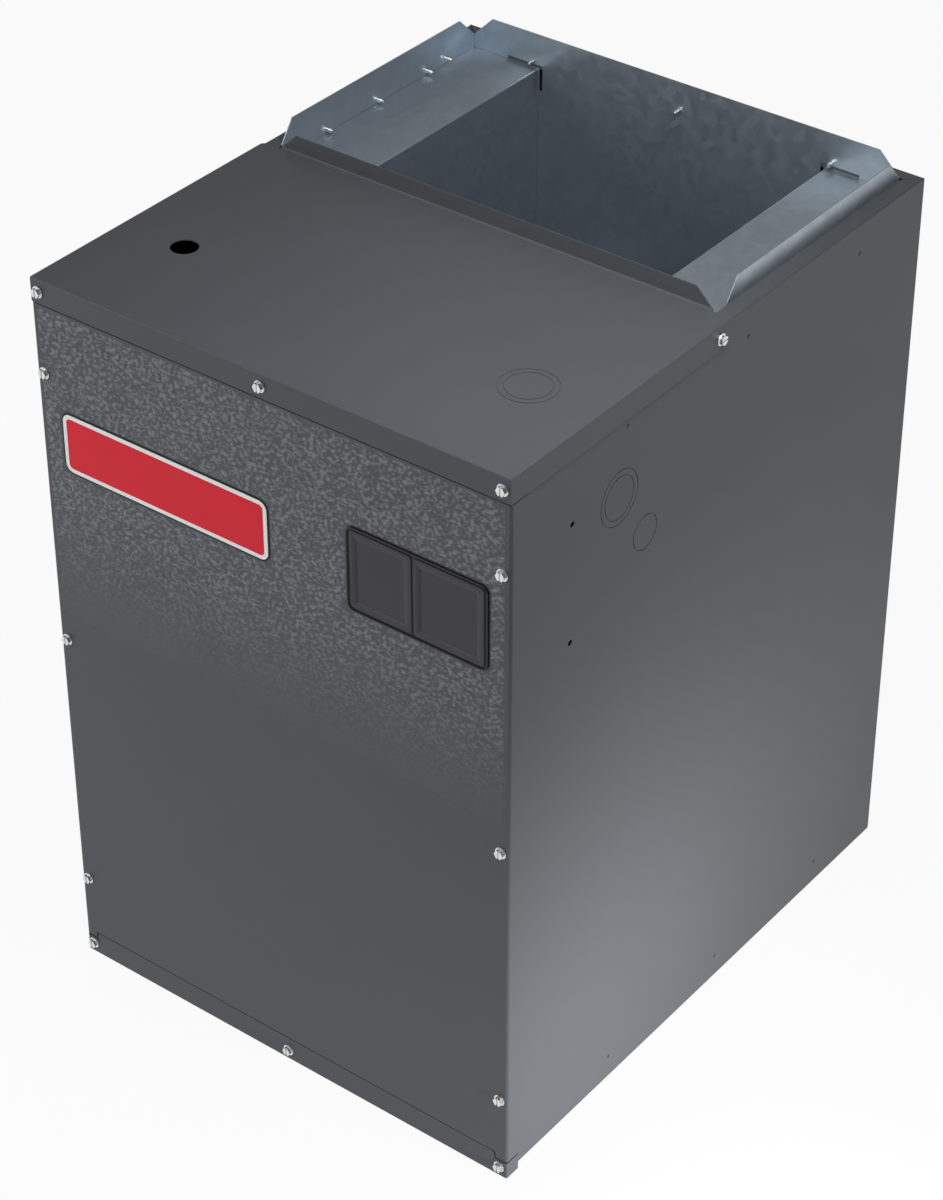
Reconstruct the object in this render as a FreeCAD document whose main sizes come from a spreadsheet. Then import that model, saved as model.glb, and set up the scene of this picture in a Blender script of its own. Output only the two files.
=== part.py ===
import FreeCAD, Part
import Sketcher
import math
import os

Vector = FreeCAD.Vector
Rotation = FreeCAD.Rotation
Placement = FreeCAD.Placement

doc = FreeCAD.newDocument("modular_blower")
sheet = doc.addObject("Spreadsheet::Sheet", "sizes")

# Lengths in mm, angles in degrees. X runs to the right seen from the front, the front faces -Y,
# Z is up, and the origin lies at the middle of the base.
SIZES = [
    ("width", 444.5, "over the side panels"),
    ("depth", 533.4, "door landing to outer back face"),
    ("height", 660.4, "floor to the top of the cap"),
    ("skin", 0.9, "painted sheet"),
    ("galv", 0.8, "galvanised sheet"),
    ("seat", 0.3, "gap left where two pieces are seated"),
    ("bend", 1.6, "outside radius of a fold"),
    ("side_foot", 5.8, "bottom edge of the side and back panels"),
    ("landing", 25.0, "front flange of a side panel"),
    ("rear_fold", 14.0, "rear flange of a side panel"),
    ("strip", 13.75, "top edge folded inwards"),
    ("hem", 12.0, "strip's inner edge folded down"),
    ("hem_start", 6.0, "front end of the side hems"),
    ("relief", 2.0, "radius of the corner relief in the strips"),
    ("lip", 21.0, "cap lip height"),
    ("lip_end", 6.0, "cap side lips stop this far before the middle"),
    ("cap_notch", 3.0, "cap corners stop this far before the flange"),
    ("flange_edge", 3.5, "front flange ends short of the strips"),
    ("flange_rise", 15.0, "front discharge flange above the cap"),
    ("flange_cut", 15.0, "its sloping ends"),
    ("collar_rise", 18.6, "galvanised collar above the cap"),
    ("collar_cut", 19.0, "sloping rear ends of the collar"),
    ("collar_nose", 13.0, "sloping front ends of the collar"),
    ("collar_start_left", 3.0, "front end of the left leaf"),
    ("collar_start_right", 13.0, "front end of the right leaf"),
    ("shelf_drop", 12.4, "duct shelf below the top of the cap"),
    ("duct_share", 0.3172, "half width of the duct, as a share of the width"),
    ("duct_foot", 15.0, "foot of a duct wall on the deck"),
    ("slot", 3.0, "width of the slots in the duct back wall"),
    ("slot_run", 36.0, "their length along the shelf"),
    ("slot_drop", 20.0, "their length down the wall"),
    ("door_gap", 0.3, "door return beside the side panel"),
    ("door_return", 20.0, "door sides folded back"),
    ("door_top_gap", 0.9, "below the cap lip"),
    ("door_low", 17.4, "lower edge of the door corners"),
    ("door_step", 23.1, "lower edge of the door between its corners"),
    ("door_round", 2.4, "outside radius of the door's upright folds"),
    ("rail", 22.3, "base front rail height"),
    ("rail_return", 15.0, "base rail folded round the sides"),
    ("tab_top", 15.6, "height of the rail's corner tabs"),
    ("tab_wide", 11.55, "width of a corner tab"),
    ("slit", 1.6, "gap beside a tab"),
    ("pan_rise", 24.0, "base pan upstand"),
    ("pan_step", 8.0, "base pan set in below the panels"),
    ("return_edge", 52.25, "return opening from the sides"),
    ("return_lip", 51.7, "return opening from the front and back"),
    ("rail_run", 102.0, "blower rails ahead of the tongue"),
    ("screw_edge", 6.25, "corner screws inside the side panels' faces"),
    ("lip_screw_drop", 11.0, "lip screws below the top"),
    ("side_screw_y", 16.0, "side lip screws ahead of the middle"),
    ("door_screw_inset", 81.4, "outer door screws from the cabinet's ends"),
    ("base_screw_z", 9.6, "base rail screws"),
    ("screw_radius", 2.1, "thread radius of a sheet metal screw"),
    ("screw_play", 0.15, "hole larger than the thread"),
    ("screw_long", 11.0, "length under the head"),
    ("hex_radius", 4.0, "across corners, halved"),
    ("hex_tall", 3.0, "hexagon above its washer"),
    ("washer_radius", 4.9, "washer face of a screw head"),
    ("washer_tall", 0.8, "washer thickness"),
    ("drive_slot", 1.1, "slot in a screw head"),
    ("wire_edge", 61.25, "wiring hole from the side"),
    ("wire_front", 101.3, "wiring hole from the front"),
    ("wire_radius", 11.1, "open wiring hole"),
    ("knock_inner", 17.45, "inner knockout radius"),
    ("knock_outer", 22.25, "outer knockout radius"),
    ("groove", 0.7, "width of a sheared knockout line"),
    ("groove_deep", 0.45, "its depth"),
    ("side_knock_front", 128.7, "side knockout from the front"),
    ("side_knock_drop", 84.4, "side knockout below the top"),
    ("small_knock_front", 162.7, "small side knockout from the front"),
    ("small_knock_drop", 132.4, "small side knockout below the top"),
    ("small_knock", 14.3, "small side knockout radius"),
    ("side_hole_front", 71.7, "small side holes from the front"),
    ("side_hole_drop", 76.4, "upper small hole below the top"),
    ("side_hole_pitch", 103.0, "upper to lower small hole"),
    ("side_hole", 2.4, "small hole radius"),
    ("dimple_front", 135.7, "first dimples from the front"),
    ("dimple_back", 91.7, "last dimples from the back"),
    ("dimple_drop", 27.0, "upper dimples below the top"),
    ("dimple_low", 28.0, "lower dimples above the floor"),
    ("dimple", 1.9, "dimple radius"),
    ("dimple_deep", 0.5, "dimple depth"),
    ("header_drop", 60.0, "front header height"),
    ("header_leaf", 20.0, "front header top leaf"),
    ("collar_screw_first", 58.0, "first collar screw behind the middle"),
    ("collar_screw_end", 64.0, "third collar screw ahead of the duct's back wall"),
    ("collar_screw_last", 39.0, "last collar screw ahead of it"),
    ("collar_screw_long", 8.0, "length of the collar screws under the head"),
    ("collar_screw_drop", 9.0, "collar screws below the top of the cap"),
    ("last_screw_rise", 1.7, "last collar screw, and back screws, above the others"),
    ("back_screw_out", 5.5, "outer back collar screws beyond the duct"),
    ("deck_share", 0.6027, "top face of the blower deck, as a share of the height"),
    ("deck_fold", 25.0, "deck edges folded down"),
    ("heater_left", 15.0, "heater opening left of the middle"),
    ("heater_right", 130.0, "heater opening right of the middle"),
    ("heater_sill", 42.0, "heater opening above the deck"),
    ("heater_head", 49.5, "heater opening below the cap"),
    ("heater_lap", 12.0, "blank plate overlap"),
    ("scroll_back", 23.2, "scroll ahead of the cabinet's back"),
    ("axis_drop", 158.0, "wheel axis below the deck"),
    ("wheel_radius", 114.3, "wheel tip radius"),
    ("wheel_gap", 14.0, "wheel ends inside the side plates"),
    ("wheel_ring", 4.0, "end ring width"),
    ("ring_depth", 17.0, "end ring, outside to inside radius"),
    ("blade_count", 40.0, "blades in each row"),
    ("blade_thick", 0.8, "blade sheet"),
    ("blade_lead", 7.5, "turn of a blade between its edges, degrees"),
    ("blade_bow", 2.4, "bow of a blade"),
    ("disc_thick", 1.2, "wheel centre disc"),
    ("hub_radius", 16.0, "wheel hub"),
    ("hub_flange", 30.0, "hub flange radius"),
    ("hub_left", 14.0, "hub left of the disc"),
    ("hub_right", 24.0, "hub right of the disc"),
    ("hub_play", 0.02, "hub bore over the shaft"),
    ("set_screw_x", 14.0, "set screw along the hub"),
    ("set_screw_radius", 3.0, "set screw thread"),
    ("set_head", 8.0, "square set screw head"),
    ("shaft_radius", 6.35, "motor shaft"),
    ("housing_share", 0.252, "half width between the side plates, as a share of the width"),
    ("tip_clear", 3.7, "wheel to the first scroll arc"),
    ("scroll_step", 17.0, "side of the scroll's layout square"),
    ("tongue", 65.0, "angle where the scroll starts, degrees"),
    ("seam", 3.0, "side plate beyond the scroll"),
    ("plate_fold", 14.0, "side plate top flange"),
    ("rail_gap", 3.3, "side plate flange below the deck"),
    ("inlet_hole_in", 19.9, "hole in a side plate inside the wheel's tips"),
    ("inlet_throat_in", 29.3, "inlet throat inside the wheel's tips"),
    ("inlet_flange_in", 6.3, "inlet flange inside the wheel's tips"),
    ("inlet_clear", 3.0, "inlet ring to the wheel"),
    ("motor_radius", 70.0, "motor shell"),
    ("shell_thick", 2.5, "motor shell wall"),
    ("shell_share", 0.171, "motor shell length, as a share of the width"),
    ("bell_long", 18.0, "motor end bell"),
    ("motor_clear", 19.35, "motor's outer end to the side insulation"),
    ("shaft_stub", 6.0, "shaft beyond the motor's outer end"),
    ("bearing_radius", 15.0, "bearing outside radius"),
    ("bearing_play", 0.05, "bearing bore over the shaft"),
    ("air_gap", 0.5, "rotor to stator"),
    ("stator_bore", 42.0, "stator bore radius"),
    ("stack_end", 13.0, "stack inside the shell's ends"),
    ("winding_long", 10.0, "winding beyond the stack"),
    ("band_gap", 0.2, "belly band over the shell"),
    ("band_thick", 1.5, "belly band strip"),
    ("band_wide", 30.0, "belly band width"),
    ("band_inset", 37.0, "middle of the belly band inside the shell's outer end"),
    ("ear_long", 16.0, "belly band ear"),
    ("ear_half", 4.0, "half gap between the ears"),
    ("arm_thick", 3.0, "motor arm bar"),
    ("arm_wide", 20.0, "motor arm width"),
    ("arm_clear", 5.0, "long leg of an arm outside the inlet flange"),
    ("arm_foot", 13.0, "motor arm foot beyond that leg"),
    ("grommet_thick", 4.0, "rubber under an arm foot"),
    ("grommet_radius", 6.0, "its radius"),
    ("bolt_radius", 3.0, "arm and band bolts"),
    ("bolt_hex", 5.8, "their heads, across corners halved"),
    ("bolt_head", 4.0, "their head height"),
    ("can_radius", 20.0, "run capacitor"),
    ("can_long", 76.0, "run capacitor length"),
    ("can_clear", 34.0, "capacitor's middle beyond the inlet flange"),
    ("strap_wide", 14.0, "capacitor strap"),
    ("strap_foot", 13.0, "capacitor strap foot"),
    ("tray_edge", 21.35, "control tray from the left wall"),
    ("tray_right", 45.0, "control tray, right edge from the middle"),
    ("tray_sill", 32.0, "control tray above the deck"),
    ("tray_head", 37.5, "control tray below the cap"),
    ("tray_stand", 12.0, "control tray ahead of the partition"),
    ("board_margin", 17.5, "control board inside the tray's sides"),
    ("board_tall", 80.0, "control board height"),
    ("board_thick", 1.6, "control board laminate"),
    ("board_stand", 8.0, "control board ahead of its tray"),
    ("harness_inset", 25.0, "motor harness inside the motor's outer end"),
    ("harness_y", 66.0, "harness drop ahead of the middle"),
    ("plug_rise", 13.0, "harness plug above the board's lower edge"),
    ("harness_lift", 20.0, "harness over the motor shell"),
    ("harness_radius", 4.0, "harness sleeve"),
    ("harness_bend", 16.0, "harness bend radius"),
    ("grommet_hole", 10.0, "deck hole for the harness"),
    ("core_wide", 54.0, "transformer core"),
    ("core_tall", 46.0, "transformer core height"),
    ("core_deep", 24.0, "transformer stack"),
    ("core_limb", 9.0, "transformer outer limb"),
    ("core_lift", 6.0, "transformer core ahead of its tray"),
    ("relay_wide", 28.0, "relay on the board"),
    ("relay_tall", 22.0, "relay height"),
    ("relay_deep", 17.0, "relay ahead of the board"),
    ("ways", 6.0, "terminal block ways"),
    ("terminal_tall", 24.0, "terminal block height"),
    ("terminal_deep", 14.0, "terminal block ahead of its tray"),
    ("fin_deep", 6.0, "its fins"),
    ("liner", 12.0, "insulation thickness"),
    ("liner_front", 16.0, "side insulation behind the landing"),
    ("door_liner_edge", 32.25, "door insulation from the sides"),
    ("door_liner_low", 45.0, "door insulation lower edge"),
    ("door_liner_drop", 30.0, "door insulation below the deck"),
    ("door_liner_thick", 10.0, "door insulation"),
    ("badge_edge", 20.25, "badge plate from the left"),
    ("badge_share", 0.4612, "badge plate length, as a share of the width"),
    ("badge_drop", 163.9, "badge plate's lower edge below the top"),
    ("badge_tall", 55.0, "badge plate height"),
    ("badge_round", 9.0, "badge plate corners"),
    ("badge_thick", 0.8, "badge plate"),
    ("cover_edge", 17.75, "breaker cover from the right"),
    ("cover_wide", 128.0, "breaker cover"),
    ("cover_drop", 170.7, "breaker cover's lower edge below the top"),
    ("cover_tall", 74.0, "breaker cover height"),
    ("cover_round", 7.0, "breaker cover corners"),
    ("cover_rise", 1.6, "breaker cover rim ahead of the door"),
    ("cover_border", 1.4, "breaker cover rim"),
    ("cover_groove", 1.8, "groove inside the rim"),
    ("cover_inset", 6.5, "sunk squares inside the fields"),
    ("cover_split", 60.5, "divider from the left edge"),
    ("cover_plug", 7.0, "breaker cover plug behind the door"),
]

for row, (alias, number, note) in enumerate(SIZES, 1):
    sheet.set(f"A{row}", alias)
    sheet.set(f"B{row}", str(number))
    sheet.setAlias(f"B{row}", alias)
    sheet.set(f"C{row}", note)
doc.recompute()


class Size:
    """A length with its number and the spreadsheet expression that gives it."""

    def __init__(self, number, text):
        self.number = number
        self.text = text

    def __add__(self, other):
        other = as_size(other)
        return Size(self.number + other.number, f"({self.text} + {other.text})")

    def __sub__(self, other):
        other = as_size(other)
        return Size(self.number - other.number, f"({self.text} - {other.text})")

    def __mul__(self, other):
        other = as_size(other)
        return Size(self.number * other.number, f"({self.text} * {other.text})")

    def __truediv__(self, other):
        other = as_size(other)
        return Size(self.number / other.number, f"({self.text} / {other.text})")

    def __neg__(self):
        return self * -1

    __radd__ = __add__
    __rmul__ = __mul__

    def __rsub__(self, other):
        return as_size(other) - self


def as_size(value):
    if isinstance(value, Size):
        return value
    return Size(float(value), f"({float(value)!r})")


def cosine(angle):
    return Size(math.cos(math.radians(angle.number)), f"cos({angle.text})")


def sine(angle):
    return Size(math.sin(math.radians(angle.number)), f"sin({angle.text})")


def ordered(a, b):
    """Two sizes, the lower first."""
    return (a, b) if a.number <= b.number else (b, a)


class Values:
    """The sheet's sizes by name."""


v = Values()
for alias, number, note in SIZES:
    setattr(v, alias, Size(float(sheet.get(alias)), f"sizes.{alias}"))

# Shared planes of the cabinet
OUT_X = v.width / 2
IN_X = OUT_X - v.skin
FRONT = -v.depth / 2
BACK = v.depth / 2
TOP = v.height - v.skin
STRIP_X = OUT_X - v.strip
STRIP_Y = BACK - v.strip
SHELF = v.height - v.shelf_drop
WALL_FRONT = v.seat
DUCT_FRONT = WALL_FRONT + v.galv
DUCT_REAR = STRIP_Y - v.galv
DECK = v.height * v.deck_share
DECK_UNDER = DECK - v.galv
COLLAR_TOP = v.height + v.collar_rise
HEM_LOW = TOP - v.hem
HOLE = v.screw_radius + v.screw_play
COLLAR_SCREW_Z = v.height - v.collar_screw_drop
LAST_SCREW_Z = COLLAR_SCREW_Z + v.last_screw_rise
LIP_SCREW_Z = v.height - v.lip_screw_drop
SCREW_X = OUT_X - v.screw_edge
TAB_X = OUT_X - v.tab_wide
DOOR_SCREWS_Z = [v.door_screw_inset, v.height / 2, v.height - v.door_screw_inset]
DOOR_FACE = FRONT - v.skin
FLANGE_X = STRIP_X - v.flange_edge
WIRE_X = OUT_X - v.wire_edge
WIRE_Y = FRONT + v.wire_front
DUCT_X = v.width * v.duct_share
BACK_SCREW_X = DUCT_X + v.back_screw_out

# Blower: its axis runs along X
HOUSING_X = v.width * v.housing_share
PLATE_OUT = HOUSING_X + v.galv
WHEEL_X = HOUSING_X - v.wheel_gap
SCROLL_BASE = v.wheel_radius + v.tip_clear
SCROLL_REAR = BACK - v.scroll_back
AXIS_Y = SCROLL_REAR - SCROLL_BASE - v.scroll_step * 3.5
AXIS_Z = DECK - v.axis_drop
INLET_HOLE = v.wheel_radius - v.inlet_hole_in
INLET_THROAT = v.wheel_radius - v.inlet_throat_in
INLET_FLANGE = v.wheel_radius - v.inlet_flange_in
MOTOR_END = IN_X - v.liner - v.motor_clear
SHELL_LONG = v.width * v.shell_share
SHELL_OUT_END = -MOTOR_END + v.bell_long
SHELL_IN_END = SHELL_OUT_END + SHELL_LONG
STACK_LEFT = SHELL_OUT_END + v.stack_end
STACK_RIGHT = SHELL_IN_END - v.stack_end
BAND_MIDDLE = SHELL_OUT_END + v.band_inset
ARM_REACH = INLET_FLANGE + v.arm_clear

# Control space
TRAY_LEFT = -IN_X + v.tray_edge
TRAY_RIGHT = -v.tray_right
TRAY_LOW = DECK + v.tray_sill
TRAY_HIGH = TOP - v.tray_head
HEATER_LOW = DECK + v.heater_sill
HEATER_HIGH = TOP - v.heater_head
HARNESS_X = -MOTOR_END + v.harness_inset

NODES = []


def bind(thing, name, value):
    """Ties a property to the sheet."""
    thing.setExpression(name, as_size(value).text)


def keep(thing, label):
    """Registers a finished sub-part."""
    thing.Label = label
    NODES.append(thing)
    return thing


# Sketch outlines: each returns a function that draws itself in a sketch.

def hold(sketch, kind, geometry, point, value):
    value = as_size(value)
    index = sketch.addConstraint(Sketcher.Constraint(kind, -1, 1, geometry, point, value.number))
    if "sizes." in value.text:
        sketch.setExpression(f"Constraints[{index}]", value.text)


def hold_radius(sketch, geometry, value):
    value = as_size(value)
    index = sketch.addConstraint(Sketcher.Constraint("Radius", geometry, value.number))
    if "sizes." in value.text:
        sketch.setExpression(f"Constraints[{index}]", value.text)


def line(sketch, a, b):
    a = [as_size(c) for c in a]
    b = [as_size(c) for c in b]
    ends = [Vector(p[0].number, p[1].number, 0) for p in (a, b)]
    geometry = sketch.addGeometry(Part.LineSegment(*ends), False)
    for point, place in ((1, a), (2, b)):
        hold(sketch, "DistanceX", geometry, point, place[0])
        hold(sketch, "DistanceY", geometry, point, place[1])


def arc(sketch, centre, radius, first, last, hold_first, hold_last):
    """An arc from the angle first to last, anticlockwise; each end is held along X or Y."""
    centre = [as_size(c) for c in centre]
    radius = as_size(radius)
    circle = Part.Circle(Vector(centre[0].number, centre[1].number, 0), Vector(0, 0, 1), radius.number)
    edge = Part.ArcOfCircle(circle, math.radians(first.number), math.radians(last.number))
    geometry = sketch.addGeometry(edge, False)
    hold(sketch, "DistanceX", geometry, 3, centre[0])
    hold(sketch, "DistanceY", geometry, 3, centre[1])
    hold_radius(sketch, geometry, radius)
    for point, angle, along in ((1, first, hold_first), (2, last, hold_last)):
        if along == "X":
            hold(sketch, "DistanceX", geometry, point, centre[0] + radius * cosine(angle))
        else:
            hold(sketch, "DistanceY", geometry, point, centre[1] + radius * sine(angle))


def polygon(*points):
    def draw(sketch):
        for a, b in zip(points, points[1:] + points[:1]):
            line(sketch, a, b)
    return draw


def rectangle(x_low, x_high, y_low, y_high):
    return polygon((x_low, y_low), (x_high, y_low), (x_high, y_high), (x_low, y_high))


def circle(x, y, radius):
    x, y, radius = as_size(x), as_size(y), as_size(radius)

    def draw(sketch):
        shape = Part.Circle(Vector(x.number, y.number, 0), Vector(0, 0, 1), radius.number)
        geometry = sketch.addGeometry(shape, False)
        hold(sketch, "DistanceX", geometry, 3, x)
        hold(sketch, "DistanceY", geometry, 3, y)
        hold_radius(sketch, geometry, radius)
    return draw


def rounded(x_low, x_high, y_low, y_high, radius):
    """A rectangle with round corners."""
    x_low, x_high, y_low, y_high = [as_size(c) for c in (x_low, x_high, y_low, y_high)]
    quarter = [as_size(a) for a in (0, 90, 180, 270, 360)]

    def draw(sketch):
        line(sketch, (x_low + radius, y_low), (x_high - radius, y_low))
        line(sketch, (x_high, y_low + radius), (x_high, y_high - radius))
        line(sketch, (x_high - radius, y_high), (x_low + radius, y_high))
        line(sketch, (x_low, y_high - radius), (x_low, y_low + radius))
        arc(sketch, (x_high - radius, y_high - radius), radius, quarter[0], quarter[1], "Y", "X")
        arc(sketch, (x_low + radius, y_high - radius), radius, quarter[1], quarter[2], "X", "Y")
        arc(sketch, (x_low + radius, y_low + radius), radius, quarter[2], quarter[3], "Y", "X")
        arc(sketch, (x_high - radius, y_low + radius), radius, quarter[3], quarter[4], "X", "Y")
    return draw


def ring(x, y, radius, wide):
    """Two circles that bound a sheared line."""
    def draw(sketch):
        circle(x, y, radius)(sketch)
        circle(x, y, radius + wide)(sketch)
    return draw


PLANES = {"XY": ("XY_Plane", 1), "XZ": ("XZ_Plane", -1), "YZ": ("YZ_Plane", 1)}


class Piece:
    """One body built from padded, pocketed, turned and rounded features."""

    def __init__(self, label, node=True):
        self.body = doc.addObject("PartDesign::Body", label)
        self.steps = 0
        if node:
            keep(self.body, label)

    def sketch(self, plane, place, outlines):
        role, sign = PLANES[plane]
        support = [f for f in self.body.Origin.OriginFeatures if f.Role == role][0]
        self.steps += 1
        drawn = self.body.newObject("Sketcher::SketchObject", f"{self.body.Name}_outline_{self.steps}")
        drawn.AttachmentSupport = (support, [""])
        drawn.MapMode = "FlatFace"
        offset = as_size(place) * sign
        drawn.AttachmentOffset = Placement(Vector(0, 0, offset.number), Rotation())
        bind(drawn, "AttachmentOffset.Base.z", offset)
        for outline in outlines:
            outline(drawn)
        return drawn

    def feature(self, kind, sketch, length):
        name = f"{self.body.Name}_{kind.lower()}_{self.steps}"
        made = self.body.newObject(f"PartDesign::{kind}", name)
        made.Profile = sketch
        made.Length = length.number
        bind(made, "Length", length)
        self.body.Tip = made
        return self

    def pad(self, plane, low, high, *outlines):
        start = low if PLANES[plane][1] > 0 else high
        return self.feature("Pad", self.sketch(plane, start, outlines), as_size(high) - low)

    def pocket(self, plane, low, high, *outlines):
        start = high if PLANES[plane][1] > 0 else low
        return self.feature("Pocket", self.sketch(plane, start, outlines), as_size(high) - low)

    def turn(self, plane, axis, *outlines):
        """Revolves an outline about the sketch's H_Axis or V_Axis."""
        sketch = self.sketch(plane, 0, outlines)
        made = self.body.newObject("PartDesign::Revolution", f"{self.body.Name}_turned_{self.steps}")
        made.Profile = sketch
        made.ReferenceAxis = (sketch, [axis])
        made.Angle = 360
        self.body.Tip = made
        return self

    def round(self, radius, chosen):
        """Rounds the edges that a test picks."""
        doc.recompute()
        tip = self.body.Tip
        names = [f"Edge{i}" for i, e in enumerate(tip.Shape.Edges, 1) if chosen(e)]
        made = self.body.newObject("PartDesign::Fillet", f"{self.body.Name}_rounded_{self.steps}")
        made.Base = (tip, names)
        made.Radius = radius.number
        bind(made, "Radius", radius)
        self.body.Tip = made
        self.steps += 1
        return self

    def place(self, x, y, z):
        for axis, value in zip("xyz", (x, y, z)):
            bind(self.body, f"Placement.Base.{axis}", value)
        return self


def along(edge, axis, **where):
    """Whether a straight edge runs along an axis at the stated coordinates."""
    if not isinstance(edge.Curve, Part.Line):
        return False
    ends = [vertex.Point for vertex in edge.Vertexes]
    for name in "xyz":
        spread = abs(getattr(ends[0], name) - getattr(ends[1], name))
        if (spread > 1e-4) != (name == axis):
            return False
    return all(abs(getattr(ends[0], n) - as_size(c).number) < 1e-3 for n, c in where.items())


# Part primitives for simple blocks and fasteners

def put(thing, x, y, z, rotation=None):
    thing.Placement = Placement(Vector(0, 0, 0), rotation or Rotation())
    for axis, value in zip("xyz", (x, y, z)):
        bind(thing, f"Placement.Base.{axis}", value)
    return thing


def block(label, x, y, z):
    made = doc.addObject("Part::Box", label)
    for name, (low, high) in (("Length", x), ("Width", y), ("Height", z)):
        bind(made, name, as_size(high) - low)
    return put(made, x[0], y[0], z[0])


TO_AXIS = {
    "+x": Rotation(Vector(0, 1, 0), 90),
    "-x": Rotation(Vector(0, 1, 0), -90),
    "+y": Rotation(Vector(1, 0, 0), -90),
    "-y": Rotation(Vector(1, 0, 0), 90),
    "+z": Rotation(),
    "-z": Rotation(Vector(1, 0, 0), 180),
}


def rod(label, radius, length, start, towards):
    made = doc.addObject("Part::Cylinder", label)
    bind(made, "Radius", radius)
    bind(made, "Height", length)
    return put(made, *start, TO_AXIS[towards])


def hexagon(label, radius, length, start, towards):
    made = doc.addObject("Part::Prism", label)
    made.Polygon = 6
    bind(made, "Circumradius", radius)
    bind(made, "Height", length)
    return put(made, *start, TO_AXIS[towards])


def fuse(label, parts):
    made = doc.addObject("Part::MultiFuse", label)
    made.Shapes = parts
    return made


def cut(label, base, tool):
    made = doc.addObject("Part::Cut", label)
    made.Base = base
    made.Tool = tool
    return made


def bundle(label, parts):
    made = doc.addObject("Part::Compound", label)
    made.Links = parts
    return made


def shape_of(label, shape):
    made = doc.addObject("Part::Feature", label)
    made.Shape = shape
    return made


def opposite(towards):
    return ("-" if towards[0] == "+" else "+") + towards[1]


def step_along(start, towards, distance):
    """A point moved from start along a signed axis."""
    sign = 1 if towards[0] == "+" else -1
    index = "xyz".index(towards[1])
    moved = [as_size(c) for c in start]
    moved[index] = moved[index] + as_size(distance) * sign
    return moved


def three(x, z):
    """Screw holes at the middle and both ends of a row, as circles in an XZ sketch."""
    return [circle(x * n, z, HOLE) for n in (-1, 0, 1)]


def screw(label, start, towards, length):
    """Hex washer head screw: washer face at start, head standing towards the named side."""
    back = opposite(towards)
    turn = TO_AXIS[towards]
    washer = rod(f"{label}_washer", v.washer_radius, v.washer_tall, start, towards)
    head_start = step_along(start, towards, v.washer_tall)
    head = hexagon(f"{label}_hex", v.hex_radius, v.hex_tall, head_start, towards)
    point = length * 0.3
    shank = rod(f"{label}_shank", v.screw_radius, length - point, start, back)
    tip = doc.addObject("Part::Cone", f"{label}_tip")
    bind(tip, "Radius1", v.screw_radius)
    bind(tip, "Radius2", v.screw_radius * 0.35)
    bind(tip, "Height", point)
    put(tip, *step_along(start, back, length - point), TO_AXIS[back])
    whole = fuse(f"{label}_whole", [washer, head, shank, tip])
    slot = doc.addObject("Part::Box", f"{label}_slot")
    bind(slot, "Length", v.drive_slot)
    bind(slot, "Width", v.hex_radius * 3)
    bind(slot, "Height", v.hex_tall)
    floor = step_along(head_start, towards, v.hex_tall * 0.55)
    half_width = turn.multVec(Vector(-0.5, 0, 0))
    half_run = turn.multVec(Vector(0, -1.5, 0))
    corner = [c + v.drive_slot * a + v.hex_radius * b for c, a, b in zip(floor, half_width, half_run)]
    put(slot, *corner, turn)
    return cut(label, whole, slot)


def bolt(label, start, towards, grip):
    """Hex bolt with a nut: head at start, shank running away from the named side through the grip."""
    back = opposite(towards)
    head = hexagon(f"{label}_head", v.bolt_hex, v.bolt_head, start, towards)
    shank = rod(f"{label}_shank", v.bolt_radius, grip + v.bolt_head + 1, start, back)
    nut = hexagon(f"{label}_nut", v.bolt_hex, v.bolt_head, step_along(start, back, grip), back)
    return fuse(label, [head, shank, nut])


# Cabinet panels

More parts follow.
